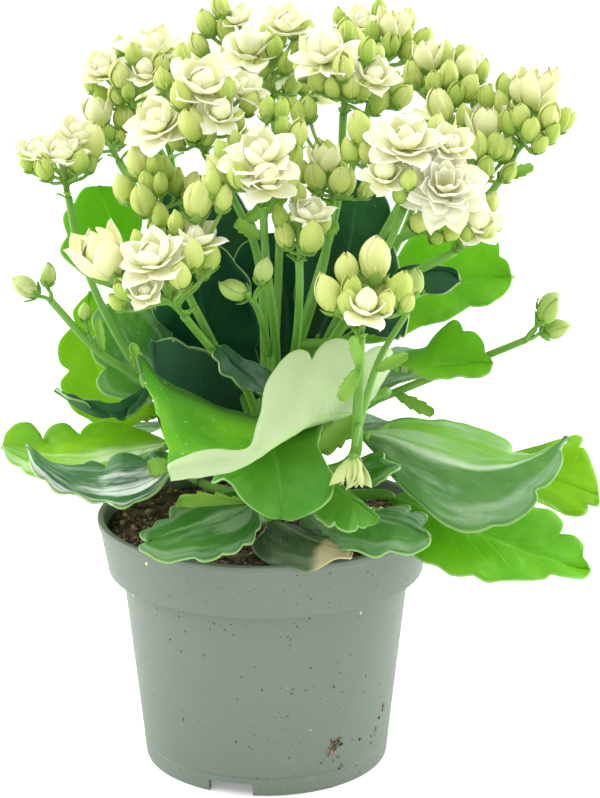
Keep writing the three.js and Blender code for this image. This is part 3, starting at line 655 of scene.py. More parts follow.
# root is where a stalk starts, and rib the line from its end to the tip. face is the way the upper side
# looks at both ends of the rib, with a width and a fold of each half; nearEdge and farEdge take their place
# where they are given. one, two and tip are the margins and the tip in the photograph, as pixels from the
# stalk on, with a slash at each sharp notch. net: rows from the stalk to the tip, each from the near margin
# over the rib to the far one, as pixel across, pixel down and how far off it stands. cuts: the notches of
# each margin as share of the length and depth; endCuts the same across the tip. teeth: how deep drawn
# notches go. wave: how far the blade waves.
leafPlan = {
    "leaf_front_cup": dict(
        rib="37,-30,140 12,-60,137 -8,-74,131 -29,-77,127", root=(4, -4, 112), lobes=4, wave=0.2,
        tone="cup",
        net=[
            "374,396,-30 368,402,-31 362,408,-31 356,405,-28 350,402,-24",
            "392,352,-32 372,384,-40 345,412,-43 340,416,-36 335,414,-26",
            "352,340,-38 342,378,-50 322,416,-56 310,424,-46 305,420,-30",
            "306,342,-44 304,384,-58 296,428,-66 282,436,-54 268,418,-33",
            "268,378,-54 272,410,-66 272,443,-73 250,444,-60 232,411,-37",
            "252,445,-75 250,454,-79 247,461,-78 218,444,-66 195,397,-41",
            "208,449,-79 208,462,-83 208,472,-80 182,436,-70 160,373,-45",
            "168,463,-79 168,470,-82 169,476,-80 156,412,-68 129,345,-47",
        ],
        cuts=[
            [(0.1, 0.1), (0.245, 0.27), (0.405, 0.3), (0.62, 0.03), (0.8, 0.06)],
            [(0.5, 0.05), (0.86, 0.06)],
        ],
        endCuts=[(-0.4, 0.01), (0.35, 0.03), (0.72, 0.07)],
    ),
    "leaf_front_apron": dict(
        rib="0,-24,126 4,-56,128 9,-72,108", root=(0, -2, 112), face="0,0,1 0,-1,0.5", width=42, lobes=3,
        fold=(8, 4), tone="bright",
        one="246,440 228,456 211,481 222,480 231,485 239,496 250,507 264,516 274,519",
        two="300,424 322,422 321,433 319,447 327,464 331,469 / 335,476 334,489 330,500 320,509 306,516 "
            "291,521",
        tip="281,517",
    ),
    "leaf_soil_left": dict(
        rib="-3,-34,103 -19,-52,104 -41,-64,99", root=(0, 0, 95), face="-0.2,-0.3,1 -0.2,-0.5,1", width=32,
        lobes=4, teeth=0.2, fold=(-8, -6), tone="mid",
        one="246,494 236,492 222,494 210,498 198,503 190,507 180,507 171,509 169,514 170,520 / 163,520 "
            "156,522 152,527 / 146,529 140,533 141,538",
        two="252,499 258,508 260,517 261,524 260,529 256,532 / 255,538 252,544 243,545 / 240,550 234,554 "
            "222,553 / 218,557 208,561 201,562 195,559 / 181,560 169,562 158,560 146,554 140,551 139,546",
        tip="148,543",
    ),
    "leaf_withered": dict(
        rib="2,-32,97 11,-44,97 25,-56,94", root=(0, 0, 93), face="0,-0.3,1 0,-0.4,1", width=24, lobes=3,
        fold=(4, -10), wave=0.9, tone="withered",
        one="266,534 252,546 260,559 / 278,567 298,571 / 318,568 336,561",
        two="300,530 318,532 330,538 / 343,544",
        tip="352,556",
    ),
    "leaf_soil_right": dict(
        rib="14,-28,103 34,-46,103 57,-50,101", root=(2, 0, 96), face="0,-0.2,1 0.1,-0.5,1", width=27,
        lobes=4, teeth=0.2, fold=(10, -4), tone="mid",
        one="322,516 345,511 366,507 374,506 377,510 / 387,508 398,506 408,505 411,508 410,514 / 418,512 "
            "426,514 428,519 421,529 / 427,531",
        two="300,531 304,538 309,542 320,545 341,550 353,551 361,553 370,556 379,557 391,552 / 404,554 "
            "412,553 424,548 430,543",
        tip="430,537",
    ),
    "leaf_small_front": dict(
        rib="20,-36,114 28,-52,113 38,-62,107", root=(2, -2, 106), face="0.2,-0.4,1 0.2,-0.7,1", width=20,
        lobes=4, teeth=0.2, tone="bright",
        one="335,484 342,487 349,490 351,495 / 358,499 365,504 368,509 / 374,510 375,514 / 379,517",
        two="331,492 326,500 316,512 316,518 321,521 / 327,526 332,525 334,522 / 337,528 344,531 356,530 "
            "358,526 / 364,528 370,525 / 375,524",
        tip="379,521",
    ),
    "leaf_tiny_right": dict(
        rib="27,-27,112 35,-38,116 43,-45,123", root=(3, -1, 101), face="-0.5,-0.3,1 -0.7,-0.4,0.7",
        width=16, lobes=3, teeth=0.2, fold=(20, 20), tone="mid",
        one="360,463 363,458 371,454 381,452 385,454 386,459 / 393,462",
        two="361,472 364,479 370,486 376,486 379,482 / 386,477 393,472",
        tip="400,466",
    ),
    "leaf_right_twisted": dict(
        rib="33,-8,121 55,-22,118 76,-26,113 103,-16,120", root=(2, 0, 114),
        nearEdge="39,4,121 57,6,125 78,0,120 102,-12,121",
        farEdge="42,-22,117 55,-42,102 81,-44,98 104,-22,118", lobes=4, teeth=0.3, wave=0.5, tone="sheen",
        one="366,440 377,432 392,422 412,418 431,421 / 456,421 477,427 / 495,434 508,440 513,446 514,451 / "
            "522,452 532,457 / 541,455 550,449 560,442",
        two="384,458 392,474 402,488 414,499 430,514 445,524 462,532 479,533 494,527 / 509,525 520,519 "
            "530,511 537,502 538,496 537,491 / 547,487 555,479 560,470 563,461 562,454 558,450 / 563,444",
        tip="568,437",
    ),
    "leaf_right_tip": dict(
        rib="38,14,103 80,27,98 121,20,99", root=(2, 2, 98), face="0,-0.1,1 -0.3,-0.7,0.7", width=40,
        lobes=4, teeth=0.2, fold=(12, 12), tone="backlit",
        one="520,470 545,455 560,444 570,436 577,434 583,437 583,442 579,448 / 585,449 590,458 594,470 "
            "598,483 599,492",
        two="520,490 539,499 550,505 561,511 569,515 577,517 585,515 589,509 587,504 / 593,506 598,505",
        tip="599,499",
    ),
    "leaf_right_low": dict(
        rib="43,-18,101 66,-28,95 88,-33,87 110,-30,82", root=(2, 0, 94),
        nearEdge="50,-2,102 72,-6,100 98,-14,96 111,-26,85",
        farEdge="46,-36,98 59,-48,86 87,-48,80 111,-34,80", lobes=5, teeth=0.2, wave=0.3, tone="fresh",
        one="432,492 470,497 510,502 536,508 550,510 561,518 564,526 559,535 / 573,536 583,544 584,551 "
            "582,555 / 588,563",
        two="404,512 405,532 411,552 423,563 438,567 450,574 463,577 473,576 / 487,582 503,580 524,581 "
            "544,578 550,575 / 566,579 580,579 587,575",
        tip="590,570",
    ),
    "leaf_left_trough": dict(
        rib="-32,-38,117 -58,-42,111 -82,-24,121", root=(-2, -2, 108), face="0,-0.4,1 0.3,-0.5,1", width=34,
        lobes=5, fold=(26, 22), tone="waxy",
        one="165,462 160,451 152,452 145,458 / 128,453 112,456 106,464 / 92,461 84,464 / 72,466 60,467 "
            "48,461 38,453",
        two="169,474 160,488 148,498 135,503 / 120,508 106,503 / 90,503 74,496 / 57,492 44,482 / 35,476 "
            "30,462",
        tip="27,445",
    ),
    "leaf_left_backlit": dict(
        rib="-34,2,114 -55,0,112 -73,0,111 -92,0,114", root=(-2, 1, 104),
        nearEdge="-36,-14,113 -57,-24,107 -78,-20,107 -93,-4,113",
        farEdge="-38,13,115 -61,18,117 -80,20,118 -94,6,115", lobes=4, tone="pale",
        one="160,440 135,429 110,423 88,424 78,434 / 66,425 52,427 44,436 43,446 / 39,434 30,425 17,424 "
            "6,432",
        two="156,454 125,468 90,478 60,482 42,478 / 26,474 20,467 / 8,460",
        tip="2,446",
    ),
    "leaf_left_upright": dict(
        rib="-38,18,121 -56,26,127 -64,31,144 -65,33,163", root=(-2, 2, 112),
        nearEdge="-46,21,119 -68,28,121 -78,31,141 -67,33,163",
        farEdge="-40,16,127 -47,22,138 -52,28,153 -63,33,164", lobes=4, tone="backlit",
        one="150,417 126,428 105,428 88,421 / 74,412 65,396 60,382 68,371 / 59,362 59,342 74,323 / 73,311 "
            "82,299",
        two="152,405 140,385 130,366 / 124,345 110,322 / 104,302",
        tip="90,292",
    ),
    "leaf_left_curled": dict(
        rib="-40,-16,141 -52,-30,134 -71,-26,141", root=(-4, -2, 118), face="-0.2,-0.3,1 0,-0.5,1",
        width=14, lobes=3, fold=(55, 55), tone="dark",
        one="146,388 130,396 118,402 / 106,403 97,399 / 84,399 74,393 / 64,393",
        two="147,400 136,412 122,419 112,416 / 96,412 86,404 / 70,399",
        tip="56,389",
    ),
    "leaf_left_scalloped": dict(
        rib="-30,5,136 -46,8,147 -55,10,164", root=(-3, 1, 118), face="0.4,-0.7,0.6 0.4,-0.9,0.2", width=34,
        lobes=4, tone="mid",
        one="160,398 130,400 108,396 100,390 96,380 103,369 / 94,360 90,345 95,334 / 92,320 99,308",
        two="170,380 176,352 172,330 / 158,312 138,304 136,304 126,298",
        tip="116,300",
    ),
    "leaf_back_left_round": dict(
        rib="-30,24,160 -51,32,182 -61,36,205", root=(-10, 38, 150), face="0.2,-0.8,0.5 0.2,-0.9,0.3",
        width=42, lobes=4, tone="fresh",
        one="120,292 92,280 74,268 / 60,252 66,236 / 63,216 74,202 / 84,188",
        two="150,280 146,256 140,236 / 142,216 130,202 / 118,188",
        tip="100,186",
    ),
    "leaf_back_dark": dict(
        rib="-16,22,160 -26,28,182 -32,31,206", root=(-10, 38, 150), face="0.1,-0.9,0.4 0,-1,0.2", width=34,
        lobes=3, tone="dark",
        one="205,292 176,264 160,242 / 153,220 160,200 / 165,183 184,177",
        two="236,292 252,264 / 258,232 247,206 / 232,186 216,178",
        tip="200,176",
    ),
    "leaf_back_right": dict(
        rib="30,8,156 48,16,162 67,23,168 88,28,174", root=(12, 4, 130),
        nearEdge="28,14,160 45,26,178 71,36,192 87,32,179", farEdge="34,2,152 48,4,153 69,12,159 88,24,170",
        lobes=4, tone="fresh",
        one="390,302 396,264 410,238 434,222 462,217 482,222 492,232 / 499,243 500,256 / 508,262",
        two="340,312 350,332 365,344 / 393,340 421,327 / 448,320 470,307 / 488,306 506,292",
        tip="513,277",
    ),
    "leaf_right_mid": dict(
        rib="44,5,167 55,4,177 68,3,182", root=(26, 8, 160), face="-0.3,-0.5,0.8 0,-0.8,0.6", width=20,
        lobes=3, tone="dark",
        one="394,276 404,267 428,264 455,269",
        two="404,291 415,297 427,294 / 443,295",
        tip="461,282",
    ),
    "leaf_right_upper": dict(
        rib="44,-2,143 57,0,143 68,2,144 78,2,145", root=(6, 2, 122),
        nearEdge="46,4,144 57,8,151 69,9,159 78,4,150", farEdge="46,-8,143 57,-13,140 70,-9,140 79,0,144",
        lobes=5, teeth=0.25, tone="fresh",
        one="398,356 412,351 427,347 433,338 443,328 453,320 460,322 464,331 / 475,332 483,341 485,350 "
            "483,354 / 490,357",
        two="400,368 410,371 430,380 443,379 460,377 478,379 487,375 491,370",
        tip="492,364",
    ),
    "leaf_centre_tall": dict(
        rib="18,12,150 29,18,178 36,20,204", root=(5, 1, 127), face="-0.1,-0.9,0.3 -0.1,-1,0.1", width=36,
        lobes=4, tone="dark",
        one="304,330 294,300 298,270 / 306,244 322,216 / 332,192",
        two="376,332 394,300 / 400,270 392,238 / 390,206 376,186",
        tip="352,178",
    ),
    "leaf_centre_edge": dict(
        rib="6,-26,137 -4,-33,147 -13,-34,157", root=(2, -4, 116), face="0.5,-0.5,0.8 0.6,-0.6,0.5",
        width=16, lobes=3, tone="dark",
        one="270,400 253,390 / 242,387 231,377 / 222,372 218,362 / 212,355",
        two="275,388 273,374 262,366 / 252,362 242,359 232,350 224,345",
        tip="216,347",
    ),
    "leaf_right_inner": dict(
        rib="30,-4,156 40,-6,162 50,-8,165", root=(12, 1, 151), face="-0.2,-0.5,0.8 0,-0.7,0.7", width=22,
        lobes=4, tone="dark",
    ),
    "leaf_inner_left": dict(
        rib="-10,12,127 -20,15,150 -28,16,177", root=(-1, 2, 114), face="0.2,-0.9,0.4 0.2,-1,0.2", width=40,
        lobes=4, tone="deep",
        one="232,400 200,380 176,350 170,330 / 154,318 152,296 165,284 / 160,268 176,252",
        two="262,398 262,372 256,348 / 262,326 250,300 / 250,280 236,262 / 220,246",
        tip="196,248",
    ),
    "leaf_inner_middle": dict(
        rib="6,16,128 8,24,156 6,28,188", root=(0, 2, 116), face="0,-0.9,0.4 0,-1,0.2", width=36, lobes=4,
        tone="deep",
        one="262,400 244,372 236,340 / 228,322 231,300 238,288 / 232,268 240,246",
        two="322,398 344,372 348,345 340,330 / 348,310 340,288 324,278 / 318,256 296,246 / 284,233",
        tip="262,234",
    ),
    "leaf_inner_low": dict(
        rib="-14,-8,114 -27,-17,122 -37,-26,131", root=(-2, -1, 110), face="0.3,0,1 0.5,0,0.8", width=30,
        lobes=4, tone="deep",
        one="244,412 214,404 198,396 / 186,392 178,380 / 166,380 160,368 164,360 / 154,354",
        two="248,396 240,372 222,362 / 206,350 188,346 / 172,338",
        tip="152,342",
    ),
}

# Leaves round the back: the turn round the trunk, the height where the blade starts, how far out its tip
# is and how far that rises.
backFan = [
    dict(turn=52, height=106, reach=92, tip=-8, width=46, tone="mid"),
    dict(turn=88, height=98, reach=90, tip=-6, width=46, tone="bright"),
    dict(turn=122, height=105, reach=92, tip=-8, width=46, tone="mid"),
    dict(turn=155, height=98, reach=88, tip=0, width=40, tone="bright"),
    dict(turn=36, height=121, reach=80, tip=14, width=40, tone="mid"),
    dict(turn=72, height=113, reach=76, tip=14, width=40, tone="dark"),
    dict(turn=104, height=112, reach=78, tip=14, width=38, tone="mid"),
    dict(turn=137, height=117, reach=78, tip=8, width=32, tone="dark"),
]


def fanLeaf(turn, height, reach, tip, width, tone):
    x, y = cos(radians(turn)) * reach, sin(radians(turn)) * reach
    rib = [(x * 0.3, y * 0.3, height), (x * 0.66, y * 0.66, height + 6 + tip / 3), (x, y, height + tip)]
    lean = (x * 0.004, y * 0.004, 1)
    return dict(rib=rib, root=(0, 0, max(height - 12, 94)), face=[lean, lean], width=width, lobes=4,
                fold=(6, 6), tone=tone)


def allLeaves():
    leaves = {name: readPoints(leaf) for name, leaf in leafPlan.items()}
    for k, fan in enumerate(backFan):
        leaves[f"leaf_back_{k + 1}"] = fanLeaf(**fan)
    return leaves


def onRail(points, share):
    last = len(points) - 1
    at = Vector((0, 0, 0))
    for i, p in enumerate(points):
        weight = 1
        for j in range(last + 1):
            if j != i:
                weight *= (share * last - j) / (i - j)
        at += Vector(p) * weight
    return at


def railDirection(points, share):
    return (onRail(points, share + 0.01) - onRail(points, share - 0.01)).normalized()


def bladeOutline(share):
    q = max(share - leafForm["petiole"], 0) / (1 - leafForm["petiole"])
    rise, close = leafForm["rise"], leafForm["close"]
    widest = rise / (rise + close)
    return q ** rise * (1 - min(q, 1)) ** close / (widest ** rise * (1 - widest) ** close)


# How far a rounded lobe goes in at a place between notches, which each have a place and a depth.
def between(notches, at):
    for before, after in zip(notches, notches[1:]):
        if at <= after[0]:
            phase = min(max((at - before[0]) / (after[0] - before[0]), 0), 1)
            depth = before[1] * (1 - phase) + after[1] * phase
            return depth * (1 - sqrt(sin(pi * phase)))
    return 0


# The notches of one margin: evenly spread lobes, shifted and deepened a little by a seeded draw.
def drawnCuts(lobes, draw):
    start = leafForm["petiole"]
    step = (1 - start) / lobes
    cuts = []
    for k in range(1, lobes):
        at = start + step * (k + draw.uniform(-0.16, 0.16))
        cuts.append((at, draw.uniform(0.12, 0.3)))
    return cuts


# A point of a smooth curve through evenly spaced points.
def through(points, share):
    last = len(points) - 1
    at = min(max(share, 0), 1) * last
    i = min(int(at), last - 1)
    b, c = points[i], points[i + 1]
    a = points[i - 1] if i else b * 2 - c
    d = points[i + 2] if i + 2 <= last else c * 2 - b
    return curve(a, b, c, d, at - i)


def pixelOf(point):
    far = camera["lens"] / camera["sensor"] * camera["height"]
    way = point - camera["place"]
    forward = way.y * cos(camera["down"]) - way.z * sin(camera["down"])
    rise = way.y * sin(camera["down"]) + way.z * cos(camera["down"])
    return Vector((camera["width"] / 2 + way.x * far / forward, camera["height"] / 2 - rise * far / forward))


# A drawn margin as even stations by its length: smooth between its notches, where each lobe is rounded in
# towards the rib.
def traced(leaf, pixels):
    points = [Vector(p) for p in pixels]
    last = len(points) - 1
    sharp = [i for i in range(last) if points[i] == points[i + 1]]
    notch = leafForm["notch"] * leaf.get("teeth", 1)
    notches = [(0, 0.0), *((i + 0.5, notch) for i in sharp), (last, 0.0)]
    line = []
    for i in range(last):
        for k in range(0 if i in sharp else 10):
            at = i + k / 10
            spot = through(points, at / last)
            inward = pixelOf(plainPoint(leaf, at / last, 0, 1)) - spot
            line.append(spot + inward.normalized() * min(between(notches, at), inward.length * 0.4))
    line.append(points[-1])
    lengths = [0]
    for a, b in zip(line, line[1:]):
        lengths.append(lengths[-1] + (b - a).length)
    return line, [reach / lengths[-1] for reach in lengths]


def onTrace(trace, share):
    line, reaches = trace
    for i in range(len(line) - 1):
        if share <= reaches[i + 1]:
            return line[i].lerp(line[i + 1], (share - reaches[i]) / max(reaches[i + 1] - reaches[i], 1e-6))
    return line[-1]


# The two drawn margins, in the order of the blade's own sides.
def ownTraces(leaf):
    one, two = (traced(leaf, leaf[side] + leaf["tip"]) for side in ("one", "two"))
    near, far = (pixelOf(plainPoint(leaf, 0.5, u, 1)) for u in (-1, 1))
    a, b = onTrace(one, 0.5), onTrace(two, 0.5)
    straight = (near - a).length + (far - b).length
    crossed = (near - b).length + (far - a).length
    return (one, two) if straight <= crossed else (two, one)


def atDepth(px, py, y):
    start, way = sightLine(px, py)
    return start + way * ((y - start.y) / way.y)


def onNet(net, share, u, cut):
    rails = [through([row[k] for row in net], share) for k in range(len(net[0]))]
    return rails[len(rails) // 2] if u == 0 else through(rails, (u * cut + 1) / 2)


def bladePoint(leaf, share, u, cut):
    if "points" in leaf:
        return onNet(leaf["points"], share, u, cut)
    if "traces" not in leaf:
        return plainPoint(leaf, share, u, cut)
    if share not in leaf["rows"]:
        leaf["rows"][share] = drawnRow(leaf, share)
    middle, edges, aims, shift = leaf["rows"][share]
    if u == 0:
        return middle + shift
    bent = plainPoint(leaf, share, u, 1) - middle.lerp(edges[u > 0], abs(u))
    calm, tooth = aims[u > 0]
    return (middle + shift).lerp(calm, abs(u)) + tooth * abs(u) ** 5 + bent


# The rib, the planned margins and the drawn margins at one share of the length.
def drawnRow(leaf, share):
    middle = plainPoint(leaf, share, 0, 1)
    edges = [plainPoint(leaf, share, u, 1) for u in (-1, 1)]
    along = railDirection(leaf["rib"], share)
    aims = []
    reach = min(0.09, share, 1 - share)
    for trace, edge in zip(leaf["traces"], edges):
        near = [onTrace(trace, share + reach * k / 3) for k in range(-3, 4)]
        across = (edge - middle).cross(along)
        calm = onPlane(sum(near, Vector((0, 0))) / len(near), edge, across)
        aims.append((calm, onPlane(near[3], edge, across) - calm))
    return middle, edges, aims, leaf["tipShift"] * share ** 4


# Where the sight line of a pixel meets a blade's plane, or comes near to a place on it.
def onPlane(pixel, at, across):
    plain = atDepth(pixel.x, pixel.y, at.y)
    start, way = sightLine(pixel.x, pixel.y)
    slope = way.dot(across.normalized()) if across.length > 0.01 else 0
    if abs(slope) < 0.04:
        return plain
    reach = (at - start).dot(across.normalized()) / slope - (plain - start).length
    limit = leafForm["depthReach"]
    return plain + way * min(max(reach, -limit), limit)


def plainPoint(leaf, share, u, cut):
    onRib = onRail(leaf["rib"], share)
    reach = abs(u)
    if "nearEdge" in leaf:
        edge = onRail(leaf["farEdge" if u >= 0 else "nearEdge"], share)
        return onRib.lerp(edge, reach * cut * min(1, 0.1 + share / leafForm["petiole"] / 2))
    along = railDirection(leaf["rib"], share)
    face = Vector(leaf["face"][0]).lerp(Vector(leaf["face"][1]), share)
    side = along.cross(face).normalized()
    lift = side.cross(along)
    thin = leafForm["stalkHalfWidth"]
    half = max(leaf["width"] / 2 * bladeOutline(share) * cut, thin * (1 - 0.5 * share))
    angle = radians(leaf.get("fold", (0, 0))[u >= 0]) * min(1, share * 3)
    bend = (1 if u > 0 else -1) * cos(angle) * reach * half
    lean = leafForm["sweep"] * reach * max(half - thin, 0) * (1 - share ** 3)
    return onRib + side * bend + lift * (sin(angle) * reach * half) + along * lean


def addLeaf(name, leaf, paints, draw):
    bm = bmesh.new()
    skin = bm.loops.layers.uv.new("blade")
    group = bm.verts.layers.deform.verify()
    grid = bmesh.ops.create_grid(bm, x_segments=leafForm["columns"], y_segments=leafForm["rows"], size=1)
    places = {v: (v.co.x, (v.co.y + 1) / 2) for v in grid["verts"]}
    cuts = leaf.get("cuts") or [drawnCuts(leaf["lobes"], draw) for _ in range(2)]
    endCuts = [(-1, 0), *leaf.get("endCuts", ()), (1, 0)]
    phases = [draw.uniform(0, tau) for _ in range(4)]
    wave = leaf.get("wave", leafForm["wave"])
    waves = leaf["lobes"] * tau * 0.95
    marginThick, stalkThick = leafForm["marginThick"], leafForm["stalkThick"]
    if "net" in leaf:
        leaf["points"] = [[atDepth(*p) for p in spots(row)] for row in leaf["net"]]
    if "tip" in leaf:
        leaf.update(traces=ownTraces(leaf), rows={})
        end = onRail(leaf["rib"], 1)
        leaf["tipShift"] = atDepth(*leaf["tip"][0], end.y) - end
    for v, (u, share) in places.items():
        end = between(endCuts, u) * share ** 6
        margin = [(leafForm["petiole"], 0.25), *cuts[u >= 0], (1.0, 0.2)]
        v.co = bladePoint(leaf, share - end, u, 1 - between(margin, share))
    bm.normal_update()
    moves = {}
    for v, (u, share) in places.items():
        grown = min(1, max(0, share * 4 - 0.3))
        ripple = wave * abs(u) ** 2 * sin(waves * share + phases[u >= 0]) * grown
        swell = 0.5 * sin(abs(u) * 4.5 + share * 9 + phases[2]) * grown * wave
        crease = -0.55 * (1 - min(abs(u) * 6, 1)) * grown
        small = noise.noise(v.co * 0.09 + Vector((phases[3], 0, 0))) * 0.9 * grown
        small += noise.noise(v.co * 0.26 + Vector((0, phases[3], 0))) * 0.3 * grown
        moves[v] = v.normal * (ripple + swell * 0.5 + crease + small)
        stalk = max(0, 1 - share * 5)
        thick = marginThick + (leafForm["ribThick"] - marginThick) * (1 - abs(u)) ** 0.7
        v[group][0] = (thick * (1 - stalk) + stalkThick * stalk) / stalkThick
    for v, move in moves.items():
        v.co += move
    for face in bm.faces:
        for loop in face.loops:
            u, share = places[loop.vert]
            loop[skin].uv = ((u + 1) / 2, share)
    piece = makePiece(bm, name.replace("leaf", "blade"), paints, [name],
                      "withered_leaf" if leaf["tone"] == "withered" else "leaf")
    piece.vertex_groups.new(name="thickness")
    wall = piece.modifiers.new("wall", "SOLIDIFY")
    wall.thickness = stalkThick * metre
    wall.offset = 0
    wall.vertex_group = "thickness"
    wall.material_offset = 1
    wall.use_even_offset = False


leafTones = {
    # upper side: dark and light green, how glossy; underside; light let through and how much of it
    # the tones are also lit and shaded copies of one green: deep and dark paint the shade inside the plant,
    # backlit and pale paint light from behind at its edges
    "deep": dict(deep=(0.004, 0.046, 0.022), light=(0.024, 0.135, 0.046), gloss=0.08, dust=0.56,
                 under=(0.03, 0.12, 0.05), glow=(0.05, 0.36, 0.03), share=0.12, shade=(0.120, 0.185)),
    "dark": dict(deep=(0.006, 0.056, 0.021), light=(0.028, 0.15, 0.036), gloss=0.24,
                 under=(0.06, 0.19, 0.07), glow=(0.05, 0.34, 0.03), share=0.12, shade=(0.118, 0.150)),
    "waxy": dict(deep=(0.020, 0.11, 0.030), light=(0.07, 0.24, 0.06), gloss=0.45,
                 under=(0.30, 0.42, 0.30), glow=(0.10, 0.45, 0.06), share=0.15, film=0.9,
                 filmSide=(0.96, 0.66), wax=(0.86, 0.93, 0.88), dust=0.7),
    "mid": dict(deep=(0.030, 0.16, 0.016), light=(0.11, 0.35, 0.030), gloss=0.42,
                under=(0.18, 0.36, 0.12), glow=(0.16, 0.60, 0.02), share=0.22, film=0.30),
    "sheen": dict(deep=(0.080, 0.26, 0.040), light=(0.18, 0.41, 0.080), gloss=0.5,
                  under=(0.40, 0.55, 0.32), glow=(0.30, 0.72, 0.03), share=0.26, film=0.42,
                  half=(0.21, 0.52, 0.035), crease=0.75),
    "bright": dict(deep=(0.065, 0.27, 0.016), light=(0.16, 0.43, 0.030), gloss=0.36,
                   under=(0.62, 0.76, 0.45), glow=(0.26, 0.74, 0.01), share=0.26),
    "cup": dict(deep=(0.085, 0.36, 0.010), light=(0.22, 0.58, 0.020), gloss=0.3, dust=0.43,
                under=(0.60, 0.73, 0.42), glow=(0.40, 0.80, 0.06), share=0.22, shade=(0.0, 0.0)),
    "fresh": dict(deep=(0.12, 0.42, 0.004), light=(0.22, 0.56, 0.008), gloss=0.22,
                  under=(0.50, 0.68, 0.28), glow=(0.38, 0.82, 0.01), share=0.32, film=0.03),
    "backlit": dict(deep=(0.10, 0.33, 0.003), light=(0.30, 0.56, 0.006), gloss=0.2,
                    under=(0.40, 0.60, 0.08), glow=(0.55, 0.86, 0.01), share=0.40),
    "pale": dict(deep=(0.10, 0.33, 0.003), light=(0.30, 0.56, 0.006), gloss=0.3,
                 under=(0.40, 0.60, 0.08), glow=(0.55, 0.86, 0.05), share=0.36, film=0.8,
                 filmSide=(0.66, 0.40), wax=(0.74, 0.84, 0.64)),
    "withered": dict(deep=(0.045, 0.10, 0.035), light=(0.13, 0.21, 0.080), gloss=0.3,
                     under=(0.30, 0.30, 0.16), glow=(0.30, 0.30, 0.06), share=0.12, film=0.15),
}


def leafPaint(tone, under):
    form = leafTones[tone]
    paint = Paint(tone + ("LeafUnder" if under else "Leaf"))
    skin = paint.add("ShaderNodeUVMap", {"uv_map": "blade"})
    across, along = (paint.add("ShaderNodeSeparateXYZ", None, {0: skin}, axis) for axis in "XY")
    off = abs(across * 2 - 1)
    cloud = paint.grain(26, 4, 0.6)
    fine = paint.grain(420, 3, 0.65)
    if under:
        colour = paint.blend(cloud, form["under"], tuple(c * 0.7 for c in form["under"]))
    else:
        colour = paint.blend(paint.steps(cloud, 0.34, 0.66), form["deep"], form["light"])
        mottleAndShadeGreen = tuple(c * 0.5 for c in form["deep"])
        # darker patches at random
        colour = paint.blend(paint.steps(paint.grain(13, 2, 0.5), 0.60, 0.40) * 0.36, colour, mottleAndShadeGreen)
        # painted shade: darker towards the stalk, deep in the plant
        colour = paint.blend(paint.steps(along + cloud * 0.1, 0.38, 0.04) * 0.5, colour, mottleAndShadeGreen)
    # side veins run from the rib to the margin, leaning towards the tip
    lines = (along * 9 - off * 2.2 + cloud * 0.5).fraction()
    vein = (1 - paint.steps(abs(lines - 0.5), 0.02, 0.10)) * (1 - paint.steps(off, 0.5, 0.95))
    rib = 1 - paint.steps(off, 0.015, 0.07)
    colour = paint.blend(rib * 0.22, colour, tuple(min(1, c * 1.6 + 0.05) for c in form["light"]))
    colour = paint.blend(vein * 0.07, colour, tuple(min(1, c * 1.6 + 0.04) for c in form["light"]))
    # a paler margin: the edge's own paler green, with painted glow of light through the thin edge
    rim = paint.steps(off, 0.965, 0.995) * 0.75
    if tone == "withered":
        dry = paint.steps(along + cloud * 0.3 + off * 0.1, 0.86, 0.96)
        colour = paint.blend(dry, colour, (0.52, 0.44, 0.26))
        rim = rim * 0.2
    colour = paint.blend(rim, colour, (0.38, 0.60, 0.22))
    # on the twisted leaf: painted backlight, a lighter yellow-green over its far half, and a painted
    # highlight, a whitish band along the fold by the rib
    if "half" in form:
        far = paint.steps(across + (cloud - 0.5) * 0.05, 0.55, 0.42)
        colour = paint.blend(far * (0.55 + cloud * 0.6), colour, form["half"])
        crease = 1 - paint.steps(abs(across - 0.475 + (cloud - 0.5) * 0.04), 0.0, 0.055)
        colour = paint.blend(crease * form["crease"], colour, (0.74, 0.84, 0.66))
    # painted shade: darker low among the stems, and on the cup leaf towards its far margin
    if "shade" in form:
        height = paint.add("ShaderNodeSeparateXYZ", None, {0: paint.place()}, "Z")
        low, high = form["shade"]
        paintedShade = paint.steps(height, high, low) if high else paint.steps(across + cloud * 0.1, 0.92, 1.07)
        colour = paint.blend(paintedShade * 0.85, colour, (0.003, 0.034, 0.016))
    # painted sheen: whitish streaks of reflected light along the blade, on one side of it for some tones
    if not under and "film" in form:
        streaks = paint.grain(1.0, 4, 0.6, paint.vector(across * 7, along * 1.6, cloud * 1.5))
        film = paint.steps(streaks, 0.40, 0.66) * paint.steps(off, 1.0, 0.85)
        if "filmSide" in form:
            film = film * paint.steps(across, *form["filmSide"])
        colour = paint.blend(film * form["film"], colour, form.get("wax", (0.62, 0.74, 0.60)))
    # dust and dried drops
    dusty = form.get("dust", 0.6)
    speck = paint.specks(330, (0.08, 0.16), (55, 3, 0.7), (dusty, dusty + 0.06))
    colour = paint.blend(speck * 0.7, colour, (0.62, 0.66, 0.5))
    relief = fine * 0.3 + cloud * 0.8 + paint.grain(95, 3, 0.5) * 1.2 - vein * 0.3 - rib * 0.7
    rough = 0.62 if under else 0.34 if tone == "dark" else 0.38
    sockets = {
        "Base Color": colour,
        "Roughness": rough + fine * 0.16,
        "Specular IOR Level": 0.2 if under else form["gloss"],
        "Normal": paint.bump(relief, 0.4, 0.0006),
    }
    return paint.finish(sockets, form["glow"], form["share"])


def addLeaves():
    paints = {tone: [leafPaint(tone, False), leafPaint(tone, True)] for tone in leafTones}
    for k, (name, leaf) in enumerate(allLeaves().items()):
        addLeaf(name, leaf, paints[leaf["tone"]], random.Random(100 + k))


addLeaves()
print("leaves grown")


# Flower parts

# A ring of petals: how many, how far they lean at the root and the tip, and their length, half width and
# cup as shares of the radius.
def ringForm(count, root, tip, length, width, cup, **more):
    return dict(more, count=count, lean=(root, tip), length=length, width=width, cup=cup)


